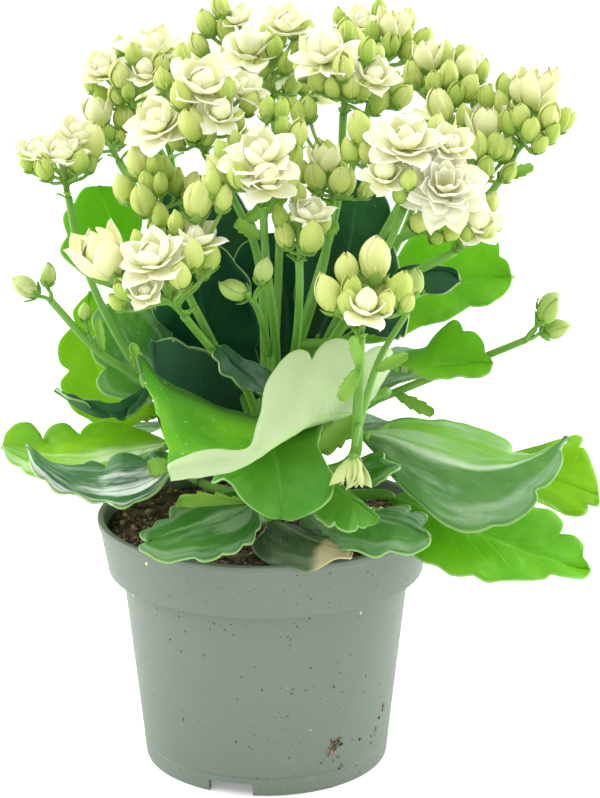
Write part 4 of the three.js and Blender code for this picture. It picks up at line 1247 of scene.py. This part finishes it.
petalWall = 0.26
petalForm = dict(faces=(6, 8), bend=1, keel=0.03, slant=0.06, loose=1, outline=(0.62, 0.5), point=0.07)
sepals = ringForm(4, 88, 12, 1.45, 0.52, 0.9, outline=(0.4, 0.8), faces=(3, 4), loose=0.6, slant=0)
budForm = {
    "reach": 3.7,  # length of a petal for a bud of radius one
    "size": 0.96,
    "tip": (-78, -52),  # lean of the outer petals' tips, shut and about to open
    "outer": ringForm(4, 55, -76, 1, 0.255, 0.8, bend=1.3, slant=0.08, keel=0.2, faces=(6, 9),
                      outline=(0.42, 0.5), loose=0.3, point=0.04),
    "core": ringForm(4, 54, -80, 0.95, 0.25, 0.95, bend=1.3, slant=0.1, faces=(4, 7),
                     outline=(0.42, 0.6), loose=0.2, point=0.04),
}


# A frame at a place, with Z along an axis.
def standing(at, axis, turn=0.0):
    lean = axis.to_track_quat("Z", "Y").to_matrix().to_4x4()
    return Matrix.Translation(at) @ lean @ Matrix.Rotation(turn, 4, "Z")


# Gives an open skin a back and closes its rims.
def addWall(bm, wall):
    bm.normal_update()
    rims = [edge.link_loops[0] for edge in bm.edges if edge.is_boundary]
    faces = bm.faces[:]
    backs = {v: bm.verts.new(v.co - v.normal * wall, v) for v in bm.verts[:]}
    ends = [(loop.vert, loop.link_loop_next.vert) for loop in rims]
    for face in faces:
        bm.faces.new([backs[v] for v in reversed(face.verts)])
    for a, b in ends:
        bm.faces.new((b, a, backs[a], backs[b]))


class Flowers:
    # collects one head's petals, which get a wall, and its closed parts, which don't
    def __init__(self, seed):
        self.draw = random.Random(seed)
        self.petals = self.layered()
        self.solid = self.layered()

    def layered(self):
        bm = bmesh.new()
        for name in ("along", "ripe", "across"):
            bm.verts.layers.float.new(name)
        return bm

    def tell(self, bm, vert, along, ripe, across=0.0):
        layers = bm.verts.layers.float
        vert[layers["along"]] = along
        vert[layers["ripe"]] = ripe
        vert[layers["across"]] = across

    # A line of length one in a plane, and how far it leans there: from a0 at the root to a1 at the tip.
    def profile(self, a0, a1, bend):
        steps = 24
        outs, rises = [0.0], [0.0]
        for k in range(steps + 2):
            angle = a0 + (a1 - a0) * ((k + 0.5) / steps) ** bend
            outs.append(outs[-1] + sin(angle) / steps)
            rises.append(rises[-1] + cos(angle) / steps)

        def at(s):
            k = min(int(s * steps), steps + 1)
            part = s * steps - k
            out, rise = (line[k] + (line[k + 1] - line[k]) * part for line in (outs, rises))
            return out, rise, a0 + (a1 - a0) * s ** bend

        return at

    def petal(self, place, form, ripe):
        columns, rows = form["faces"]
        made = bmesh.ops.create_grid(self.petals, x_segments=columns, y_segments=rows, size=1)["verts"]
        lengthwise = self.profile(*(radians(a) for a in form["lean"]), form["bend"])
        length, width, cup = form["length"], form["width"], form["cup"]
        free = length * form["loose"]
        ruffle = self.draw.uniform(-0.10, 0.10) * free
        twist = self.draw.uniform(-0.10, 0.10) * free
        curl = self.draw.uniform(0, 0.07) * free
        wavy = self.draw.uniform(0, tau)
        rise, close = form["outline"]
        widest = rise / (rise + close)
        most = widest ** rise * (1 - widest) ** close
        for v in made:
            u, s = v.co.x, (v.co.y + 1) / 2
            s = 1 - (1 - s) ** 1.5
            half = width * max(s ** rise * (1 - s) ** close / most, 0.3 * (1 - s))
            s = s + form["point"] * (1 - abs(u) * (1 - s) ** 0.3) * s ** 5
            out, rising, angle = lengthwise(s)
            out, rising = out * length, rising * length
            across = half * sin(cup * u) / cup
            lift = half * (1 - cos(cup * u)) / cup - form["slant"] * u * half + ruffle * u * s * s
            lift += form["keel"] * half * abs(u)
            lift -= curl * s ** 6 + 0.02 * free * sin(wavy + 5 * s + 2 * u) * abs(u)
            across += twist * s * s
            v.co = place @ Vector((out - cos(angle) * lift, across, rising + sin(angle) * lift))
            self.tell(self.petals, v, min(s, 1), ripe, u)

    # A ring of petals, as petalForm and then the ring's own form give them, scaled to a radius.
    def ring(self, place, form, radius, ripe, first=0.0):
        form = {**petalForm, **form}
        spread = 5 * form["loose"]
        for k in range(form["count"]):
            jitter = self.draw.uniform(-0.12, 0.12)
            length = form["length"] * radius * self.draw.uniform(0.92, 1.06)
            lean = [a + self.draw.uniform(-spread, spread) for a in form["lean"]]
            turn = Matrix.Rotation(first + (k + jitter) * tau / form["count"], 4, "Z")
            self.petal(place @ turn, dict(form, length=length, width=form["width"] * radius, lean=lean), ripe)

    # A bud on its stalk: four petals, each with one margin over the next petal, round a core of four more.
    def bud(self, at, axis, turn, radius, ripe, hub, way, thick, thin):
        place = standing(at - axis * radius * 1.4, axis, turn)
        shut, open = budForm["tip"]
        outer = budForm["outer"]
        tip = shut + (open - shut) * self.draw.random() ** 1.5
        self.ring(place, dict(outer, lean=(outer["lean"][0], tip)), radius * budForm["reach"], ripe)
        self.ring(place, budForm["core"], radius * budForm["reach"], ripe + 0.1, pi / 4)
        self.calyx(place, radius)
        self.stalk(hub, place @ Vector((0, 0, 0.2)), way, thick, thin)

    # The four green sepals under a bud or bloom.
    def calyx(self, place, size):
        self.ring(place @ Matrix.Translation((0, 0, -0.08 * size)), sepals, size, 0.0)

    def stalk(self, start, end, way, thick, thin):
        reach = (end - start).length
        near = start + way * reach * 0.35 + (end - start) * 0.12
        points = [start, near, start.lerp(end, 0.72) + way * reach * 0.06, end]
        for v in addTube(self.solid, smoothLine(points, [thick, thin * 1.1, thin, thin * 1.15], 3), 7):
            self.tell(self.solid, v, 0.2, 0.02)

    def close(self, name, paint, nodes, slotName):
        weld(self.petals)
        addWall(self.petals, petalWall)
        weld(self.solid)
        bridge = bpy.data.meshes.new("bridge")
        self.petals.to_mesh(bridge)
        self.petals.free()
        self.solid.from_mesh(bridge)
        bpy.data.meshes.remove(bridge)
        makePiece(self.solid, name, [paint], nodes, slotName)


bloomForms = {
    "cup": [
        ringForm(5, 94, 42, 1.1, 0.48, 0.6),
        ringForm(4, 88, 0, 1.06, 0.50, 0.9, slant=0.1, loose=0.7),
        ringForm(4, 84, -72, 1.0, 0.34, 1.0, slant=0.12, loose=0.4),
    ],
    "open": [
        ringForm(5, 92, 70, 1.08, 0.46, 0.4, outline=(0.62, 0.42)),
        ringForm(4, 86, 8, 0.98, 0.44, 0.8, slant=0.1, loose=0.7),
        ringForm(4, 70, -84, 1.5, 0.42, 0.9, bend=1.2, slant=0.1, keel=0.08, loose=0.4),
        ringForm(4, 68, -86, 1.4, 0.40, 1.0, bend=1.2, loose=0.3),
    ],
    "wide": [
        ringForm(5, 100, 68, 1.12, 0.47, 0.45),
        ringForm(5, 92, 34, 1.04, 0.47, 0.7),
        ringForm(4, 86, -22, 1.0, 0.44, 1.0, slant=0.1, loose=0.6),
        ringForm(4, 82, -74, 0.94, 0.32, 1.05, slant=0.12, loose=0.4),
    ],
    "rose": [
        ringForm(8, 94, 82, 1.04, 0.36, 0.45, outline=(0.7, 0.55)),
        ringForm(8, 86, 66, 1.0, 0.36, 0.5, outline=(0.7, 0.55)),
        ringForm(8, 78, 48, 0.92, 0.33, 0.6, outline=(0.7, 0.55)),
        ringForm(7, 70, 30, 0.84, 0.30, 0.7),
        ringForm(7, 62, 12, 0.76, 0.25, 0.8),
        ringForm(6, 54, -8, 0.68, 0.20, 0.9),
    ],
    "half": [
        ringForm(4, 58, -14, 2.7, 0.80, 0.7, bend=1.3, slant=0.1, keel=0.1, loose=0.7),
        ringForm(4, 54, -50, 2.8, 0.78, 0.8, bend=1.5, slant=0.1, keel=0.1, loose=0.5),
        ringForm(4, 50, -90, 2.9, 0.72, 0.9, bend=1.7, slant=0.1, loose=0.3),
    ],
}
bloomRipeness = {"cup": 1.0, "open": 0.98, "wide": 1.04, "rose": 1.2, "half": 0.84}
# shares of outwards, up and the camera's side in where a bloom looks, for those that look straight
bloomAims = {"rose": (0.3, 0.45, 0.85), "half": (0.6, 0.7, 0.1)}
headForm = {
    "egg": 0.72,  # of the node's box: the blooms and buds stand on it
    "bloomAim": (0.55, 0.5, 0.4),  # the same shares for the other blooms
    "bloomStalk": (0.95, 0.75),
    "budStalk": (0.85, 0.62),
    "tries": 60,
    "hiddenSize": (2.6, 3.9),
    "hiddenRipe": (0.4, 0.62),
}

# Heads: path is the line of the stalk up to the hub. blooms and buds are read off the photograph, as kind,
# pixel across, pixel down and radius in millimetres, and stand on the near side of the head. rear: blooms
# behind the plant, as kind, place and radius. hidden: how many more buds there are at most on the far side.
# stout: how many times thicker the stalk is.
heads = {
    "head_far_left": dict(
        path="-3,1,114 -22,0,120 -40,-2,137 -53,0,157 -64,3,183 -68,5,203",
        blooms="cup,60,149,9.5 cup,33,148,8 cup,76,130,8.5",
        buds="91,147,4.9 45,171,3.3 79,163,3.2 28,164,2.8 90,166,2.4", hidden=7),
    "head_left_back": dict(
        path="-3,7,112 -4,24,126 -10,38,150 -26,44,190 -45,32,227",
        blooms="wide,154,42,12 cup,102,65,9.5 open,144,70,6.6",
        buds="120,78,4 133,56,3.2 159,68,3.3 170,60,3 104,99,3.2 117,97,3 128,92,2.8 91,86,2.6", hidden=8),
    "head_left_small": dict(
        path="-28,-11,176 -40,0,198 -51,14,214",
        blooms="half,98,118,5",
        buds="123,119,3.8 109,136,3.0 91,143,2.6 137,130,2.8 120,140,2.4", hidden=3),
    "head_front_left": dict(
        path="-1,-3,118 0,-6,150 -2,-8,183 -10,-10,204 -20,-12,221",
        blooms="wide,156,117,12 cup,203,78,12 open,220,112,7.6 cup,246,86,9",
        buds="192,128,4.6 181,97,4 226,92,3.6 249,104,3.6 176,141,3 207,137,3 235,124,3.2 183,58,3",
        hidden=5),
    "head_top_left": dict(
        path="0,5,116 4,14,160 5,22,205 2,25,235",
        blooms="open,250,45,10.5 cup,286,20,9.5 cup,236,16,7",
        buds="221,8,3.4 207,25,3.6 199,46,3.6 274,50,3.2 285,65,3.2 259,70,3.2 292,86,3 226,32,3.4 "
             "267,84,2.6 306,33,3", hidden=7),
    "head_top_middle": dict(
        path="3,1,118 14,2,160 25,2,200 27,1,232",
        blooms="open,324,49,12 cup,375,73,8.5",
        buds="317,82,3.4 333,89,3 344,70,3.6 351,89,3.2 378,104,3.6 362,92,3 367,53,3.2 401,98,3.6 "
             "392,86,3", hidden=5),
    "head_top_right": dict(
        path="3,7,112 6,26,126 14,40,150 28,46,195 39,42,236",
        blooms="cup,362,18,9 half,393,30,5",
        buds="372,35,3 391,46,3.4 405,38,3 340,20,3 379,10,3 407,50,3.2 417,75,3.6", hidden=8),
    "head_right_back": dict(
        path="4,2,116 26,8,160 48,15,200 61,18,226",
        blooms="half,428,61,5 half,466,68,4.8",
        buds="445,57,3.6 449,76,3.8 469,89,3.8 480,73,3.2 460,58,3 414,76,3.8 434,84,3.2 455,97,3", hidden=7),
    "head_far_right": dict(
        path="36,11,181 56,9,192 76,6,202 86,5,217",
        blooms="half,536,97,6.5 half,521,94,4.5",
        buds="487,101,3.2 501,104,3.6 505,89,3.2 549,117,4 509,124,3.4 496,122,3 530,131,3.4 539,145,3 "
             "551,135,3 546,92,3.6 521,117,3.4", hidden=7),
    "head_front_right": dict(
        path="4,-3,118 20,-10,150 38,-19,182 47,-27,205",
        blooms="wide,406,135,12.5 rose,446,182,13.8 open,385,172,7.6 cup,452,142,8.5",
        buds="360,132,4.4 351,152,3.2 367,154,3.4 379,150,2.8 408,181,2.8 420,222,3.8 436,239,2.2 "
             "451,233,2.8 400,196,2.6", hidden=4),
    "head_right": dict(
        path="54,6,191 66,1,198 74,0,207",
        blooms="half,484,130,5.5",
        buds="441,110,4.8 465,118,3.2 463,132,2.6 475,150,4 486,168,3.4 495,148,3.6 505,152,3.2 508,173,3",
        hidden=4),
    "head_right_low": dict(
        path="33,-16,172 50,-20,181 64,-27,190",
        blooms="open,478,221,8.4",
        buds="490,205,3 466,236,2.6 486,232,3", hidden=3),
    "head_centre": dict(
        path="1,-4,118 4,-18,152 1,-27,186 0,-32,206",
        blooms="wide,260,150,12.5 open,267,177,9",
        buds="218,173,4.4 239,178,3.8 288,180,3.4 293,160,3.2 225,156,3.4 297,138,3.4 282,127,3 "
             "267,110,3.2 281,112,3", hidden=4),
    "head_centre_right": dict(
        path="11,2,148 20,-7,180 23,-12,202",
        blooms="half,325,163,4.8",
        buds="315,178,4 339,182,3.6 328,156,3.6 303,172,3 300,116,3.2 309,111,3 341,166,2.8", hidden=3),
    "head_centre_low": dict(
        path="2,-4,118 10,-20,152 12,-29,174 12,-32,188",
        blooms="cup,311,210,8.2",
        buds="280,219,3.2 285,238,3.4 311,240,4.2 298,196,3", hidden=3),
    "head_left_front": dict(
        path="0,-5,118 -6,-20,140 -13,-27,151 -20,-36,162 -26,-44,172",
        blooms="wide,151,252,11.5 cup,195,234,10 half,104,263,7.5 cup,145,290,6.5",
        buds="197,203,4.8 212,187,3.4 223,200,3.4 209,259,3.8 192,257,4 180,277,3.8 118,303,2.8 "
             "124,292,2.8 176,225,3", hidden=4),
    "head_left_middle": dict(
        path="-2,-2,118 -16,-8,150 -28,-11,176 -34,-12,194",
        buds="138,166,4.2 155,169,3.2 125,191,4 147,185,3.2 160,185,3 144,203,4.4 160,216,3.4 157,229,3.2",
        hidden=5),
    "head_front_low": dict(
        path="2,-3,106 20,-30,114 30,-46,124 31,-58,142 32,-60,169",
        blooms="open,366,304,8.4",
        buds="375,262,5.6 330,297,4.6 346,274,3.8 352,293,3.4 398,292,4 348,305,3.2 385,305,3.2 "
             "406,304,2.8", hidden=3, stout=1.4),
    "head_rear_left": dict(
        path="-3,6,108 -14,40,136 -30,58,180 -36,64,208",
        rear="wide,-38,70,228,12.5 cup,-52,62,217,9", hidden=13),
    "head_rear_middle": dict(
        path="0,7,106 0,44,132 4,58,180 6,62,218",
        rear="rose,2,66,240,13 cup,19,70,231,9", hidden=13),
    "head_rear_right": dict(
        path="4,5,108 24,40,134 48,52,176 58,55,202",
        rear="wide,62,62,222,12.5 cup,76,54,212,9", hidden=13),
}


flowerTones = [
    # green stalks and sepals, young buds, ripe buds, petals
    (0.0, (0.15, 0.36, 0.05)), (0.22, (0.31, 0.50, 0.07)), (0.42, (0.53, 0.66, 0.15)),
    (0.62, (0.71, 0.76, 0.28)), (0.82, (0.92, 0.92, 0.60)), (1.0, (0.985, 0.982, 0.905)),
]


def flowerPaint():
    paint = Paint("creamPetal")
    along = paint.reading("along")
    ripe = paint.reading("ripe")
    across = paint.reading("across")
    cloud = paint.grain(120, 3)
    streak = paint.grain(40, 2, 0.5, paint.vector(across * 0.6, along * 0.02, cloud * 0.04))
    grown = paint.steps(ripe, 0.03, 0.2)
    tone = ripe - (1 - along) * (1 - along) * 0.46 + (cloud - 0.5) * 0.12 + (streak - 0.5) * 0.12
    tone = tone + paint.steps(abs(across), 0.76, 1.0) * 0.16
    brown = paint.steps(along + (cloud - 0.5) * 0.25, 1.01, 1.07) * grown
    colour = paint.blend(brown * 0.55, paint.ramp(tone * grown, flowerTones), (0.55, 0.30, 0.16))
    sockets = {
        "Base Color": colour,
        "Roughness": 0.5 + cloud * 0.1,
        "Specular IOR Level": 0.3,
        "Normal": paint.bump(streak + cloud * 0.4, 0.25, 0.0004),
        # painted glow: a faint yellow-green emission that lifts the shade between petals, standing in for
        # light scattered through them
        "Emission Color": paint.blend(0.5, colour, (0.62, 0.72, 0.16)),
        "Emission Strength": 0.035,
    }
    return paint.finish(sockets, (0.96, 0.95, 0.60), 0.30)


def boxOf(node):
    low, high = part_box(node)
    return (low + high) / 2 / metre, (high - low) / 2 / metre


def addHead(name, head, paint, seed):
    flowers = Flowers(seed)
    draw = flowers.draw
    hub = Vector(head["path"][-1])
    stem = (hub - Vector(head["path"][-2])).normalized()
    middle, half = boxOf(name)
    half = half * headForm["egg"]
    taken = []

    def addBloom(kind, at, radius, toEye):
        outward = (at - hub).normalized()
        sway = Vector((draw.uniform(-1, 1), draw.uniform(-1, 1), 0)) * 0.15
        out, rise, face = bloomAims.get(kind, headForm["bloomAim"])
        if kind in bloomAims:
            sway = Vector((0, 0, 0))
        axis = (outward * out + up * rise + toEye * face + sway).normalized()
        place = standing(at - axis * radius * (0.4 if kind != "half" else 1.0), axis, draw.uniform(0, tau))
        for k, form in enumerate(bloomForms[kind]):
            first = k * pi / form["count"] + k * 0.4
            flowers.ring(place, form, radius, bloomRipeness[kind] - 0.045 * k, first)
        size = radius * (0.36 if kind != "half" else 0.8)
        flowers.calyx(place @ Matrix.Translation((0, 0, -radius * 0.03)), size)
        flowers.stalk(hub, place @ Vector((0, 0, -radius * 0.1)), stem, *headForm["bloomStalk"])
        taken.append((at, radius * 0.8))

    def addBud(at, radius, ripe):
        radius *= budForm["size"]
        axis = ((at - hub).normalized() * 0.75 + up * 0.6).normalized()
        flowers.bud(at, axis, draw.uniform(0, tau), radius, ripe, hub, stem, *headForm["budStalk"])
        taken.append((at, radius))

    for kind, px, py, radius in head.get("blooms", []):
        addBloom(kind, onEgg(px, py, middle, half), radius, (camera["place"] - middle).normalized())
    for kind, x, y, z, radius in head.get("rear", []):
        addBloom(kind, Vector((x, y, z)), radius, Vector((0, 0.9, 0.4)))
    for px, py, radius in head.get("buds", []):
        addBud(onEgg(px, py, middle, half), radius, 0.05 + 0.125 * radius + draw.uniform(-0.1, 0.1))
    placed = 0
    for _ in range(headForm["tries"]):
        if placed >= head["hidden"]:
            break
        tilt = draw.uniform(-0.2, 1)
        turn = draw.uniform(0, tau)
        way = Vector((cos(turn) * sqrt(1 - tilt ** 2 * 0.99), sin(turn) * sqrt(1 - tilt ** 2 * 0.99), tilt))
        radius = draw.uniform(*headForm["hiddenSize"])
        at = middle + way * half
        if way.dot(Vector((0, -1, 0.2))) > 0.25 and "rear" not in head:
            continue
        if all((at - other).length > size + radius * 0.9 for other, size in taken):
            addBud(at, radius, draw.uniform(*headForm["hiddenRipe"]))
            placed += 1
    flowers.close(name.replace("head", "cyme"), paint, [name], "flower")


def addHeads():
    paint = flowerPaint()
    for k, (name, head) in enumerate(heads.items()):
        addHead(name, readPoints(head), paint, 500 + k)


addHeads()
print("heads set")


# Stems

stems = {
    "trunk": [((0, 0, 70), 6), ((0, 0, 96), 6), ((0, 0, 112), 7), ((0, 0, 122), 4)],
    "thick": 1.7,
    "thin": 1.15,
    "leafStalk": [2.2, 1.9, 1.3],
    "sprigStalk": (0.9, 0.7),
    "glow": (0.34, 0.66, 0.06),
    "sides": 12,
    "finer": 10,  # sides of a leaf's stalk or a side stem
}

# buds: place, radius and axis; wilted: the flower that hangs at the end, in the same way
sprigs = [
    dict(path="-14,0,119 -40,-5,138 -58,-10,152 -73,-13,170", radius=1.3,
         buds="-81,-15,175,3.6,-0.8,-0.1,0.6 -74,-10,178,2.8,0.1,0.1,1"),
    dict(path="-58,-10,152 -61,-11,158", radius=0.9, buds="-62,-10,165,2.2,0,0,1"),
    dict(path="3,1,118 30,6,126 60,11,137 78,9,145 91,0,153", radius=1.3,
         buds="101,-1,157,3.6,1,0,0.25 98,-5,164,3.6,0.6,-0.2,1 99,2,166,3.2,0.9,0,0.8"),
    dict(path="2,-17,152 -1,-30,168 -3,-36,175", radius=1,
         buds="-9,-42,180,3.8,-0.9,-0.3,0.5 0,-38,185,3.2,0.2,0,1"),
    dict(path="31,-52,134 38,-44,156 48,-38,172", radius=1, buds="50,-38,181,3.2,0.1,0,1"),
    dict(path="31,-54,136 31,-64,139 30,-68,134", radius=0.9, wilted="29.5,-68.5,132,4.0,-0.05,-0.25,-1"),
]

bracts = (  # pixels of the foot and of the tip, how far off they stand, width
    "355,368,352,335,-63,4 353,374,340,401,-64,5.2 389,380,408,354,-46,4.4 392,394,434,414,8,5 "
    "502,182,534,166,3,4.5 257,236,236,222,-24,5 318,240,339,223,-18,5.5 262,215,288,193,-14,6 "
    "136,372,132,342,-20,4.5 112,340,98,318,-8,3.5 226,485,176,504,-40,9 169,461,149,468,-38,6.5 "
    "358,432,319,453,-30,9"
)


def stemPaint():
    paint = Paint("greenStem")
    ripe = paint.reading("ripe")
    along = paint.reading("along")
    cloud = paint.grain(70, 3)
    green = paint.ramp(cloud, [(0.3, (0.11, 0.30, 0.035)), (0.7, (0.22, 0.46, 0.07))])
    stops = [(0.0, (0.17, 0.40, 0.04)), (0.22, (0.30, 0.55, 0.06)), (0.45, (0.46, 0.60, 0.16)),
             (0.8, (0.78, 0.81, 0.44))]
    bud = paint.ramp(ripe - (1 - along) * (1 - along) * 0.34, stops)
    sockets = {
        "Base Color": paint.blend(paint.steps(ripe, 0.1, 0.3), green, bud),
        "Roughness": 0.42 + cloud * 0.1,
        "Specular IOR Level": 0.45,
        "Normal": paint.bump(paint.grain(300, 3) + cloud, 0.2, 0.0004),
    }
    return paint.finish(sockets, stems["glow"], 0.22)


# A small toothed leaf on a stem; face is the way that its upper side looks.
def addBract(flowers, foot, tip, width, face):
    along = (tip - foot).normalized()
    across = along.cross(face).normalized()
    rise = across.cross(along)
    length = (tip - foot).length
    made = bmesh.ops.create_grid(flowers.petals, x_segments=8, y_segments=30, size=1)["verts"]
    for v in made:
        u, s = v.co.x, (v.co.y + 1) / 2
        teeth = 0.74 + 0.36 * (s * 4.2 % 1)
        half = width * 0.5 * (s ** 0.7 * (1 - s) ** 0.5 * 2.0 * teeth + 0.12)
        bow = 0.10 * length * sin(pi * s) + 0.18 * width * u * u
        v.co = foot + along * (length * s + 0.3 * half * abs(u)) + across * (half * u) + rise * bow
        flowers.tell(flowers.petals, v, 0.3 + 0.5 * s, 0.24)


def addSprig(flowers, sprig):
    end = Vector(sprig["path"][-1])
    for x, y, z, radius, *axis in sprig.get("buds", []):
        axis = Vector(axis).normalized()
        ripe = flowers.draw.uniform(0.4, 0.6)
        flowers.bud(Vector((x, y, z)), axis, 0.3, radius, ripe, end, axis, *stems["sprigStalk"])
    for x, y, z, radius, *axis in sprig.get("wilted", []):
        place = standing(Vector((x, y, z)), Vector(axis).normalized())
        for form in bloomForms["half"]:
            narrow = dict(form, width=form["width"] * 0.62, loose=1.6)
            flowers.ring(place, narrow, radius, 0.62, form["width"] * 9)
        flowers.calyx(place, radius * 0.7)


def addStems():
    flowers = Flowers(900)
    trunk, thick, thin = stems["trunk"], stems["thick"], stems["thin"]
    tubes = [(smoothLine([p for p, _ in trunk], [r for _, r in trunk], 6), 20)]
    paths = [[Vector(p) for p in spots(head["path"])] for head in heads.values()]
    for path, head in zip(paths, heads.values()):
        last = len(path) - 1
        radii = [(thick - (thick - thin) * (k / last) ** 1.2) * head.get("stout", 1) for k in range(last)]
        tubes.append((smoothLine(path, [*radii, thin * 1.2], 8), stems["sides"]))
    for leaf in allLeaves().values():
        base = Vector(leaf["rib"][0])
        way = railDirection(leaf["rib"], 0.01)
        path = [leaf["root"], base - way * 5, base + way * 2.5]
        tubes.append((smoothLine(path, stems["leafStalk"], 7), stems["finer"]))
    for sprig in map(readPoints, sprigs):
        last = len(sprig["path"]) - 1
        radii = [sprig["radius"] * (1.3 - 0.3 * k / last) for k in range(last + 1)]
        tubes.append((smoothLine(sprig["path"], radii, 8), stems["finer"]))
        addSprig(flowers, sprig)
    for line, sides in tubes:
        for v in addTube(flowers.solid, line, sides):
            flowers.tell(flowers.solid, v, 0.5, 0.0)
    stations = [point for line, _ in tubes for point, _ in line]
    for footX, footY, tipX, tipY, y, width in spots(bracts):
        aim = atDepth(footX, footY, y)
        foot = min(stations, key=lambda point: (point - aim).length)
        addBract(flowers, foot, atDepth(tipX, tipY, y - 2), width, (camera["place"] - foot).normalized())
    for *_, before, hub in paths:
        for _ in range(3):
            turn = flowers.draw.uniform(0, tau)
            out = Vector((cos(turn), sin(turn), flowers.draw.uniform(0.5, 1.2))).normalized()
            root = hub + (before - hub).normalized() * flowers.draw.uniform(0.5, 3)
            addBract(flowers, root, root + out * flowers.draw.uniform(4, 7), 2.4, up)
    flowers.close("stemWork", stemPaint(), ["stems"], "stem")


addStems()
print("stems drawn")
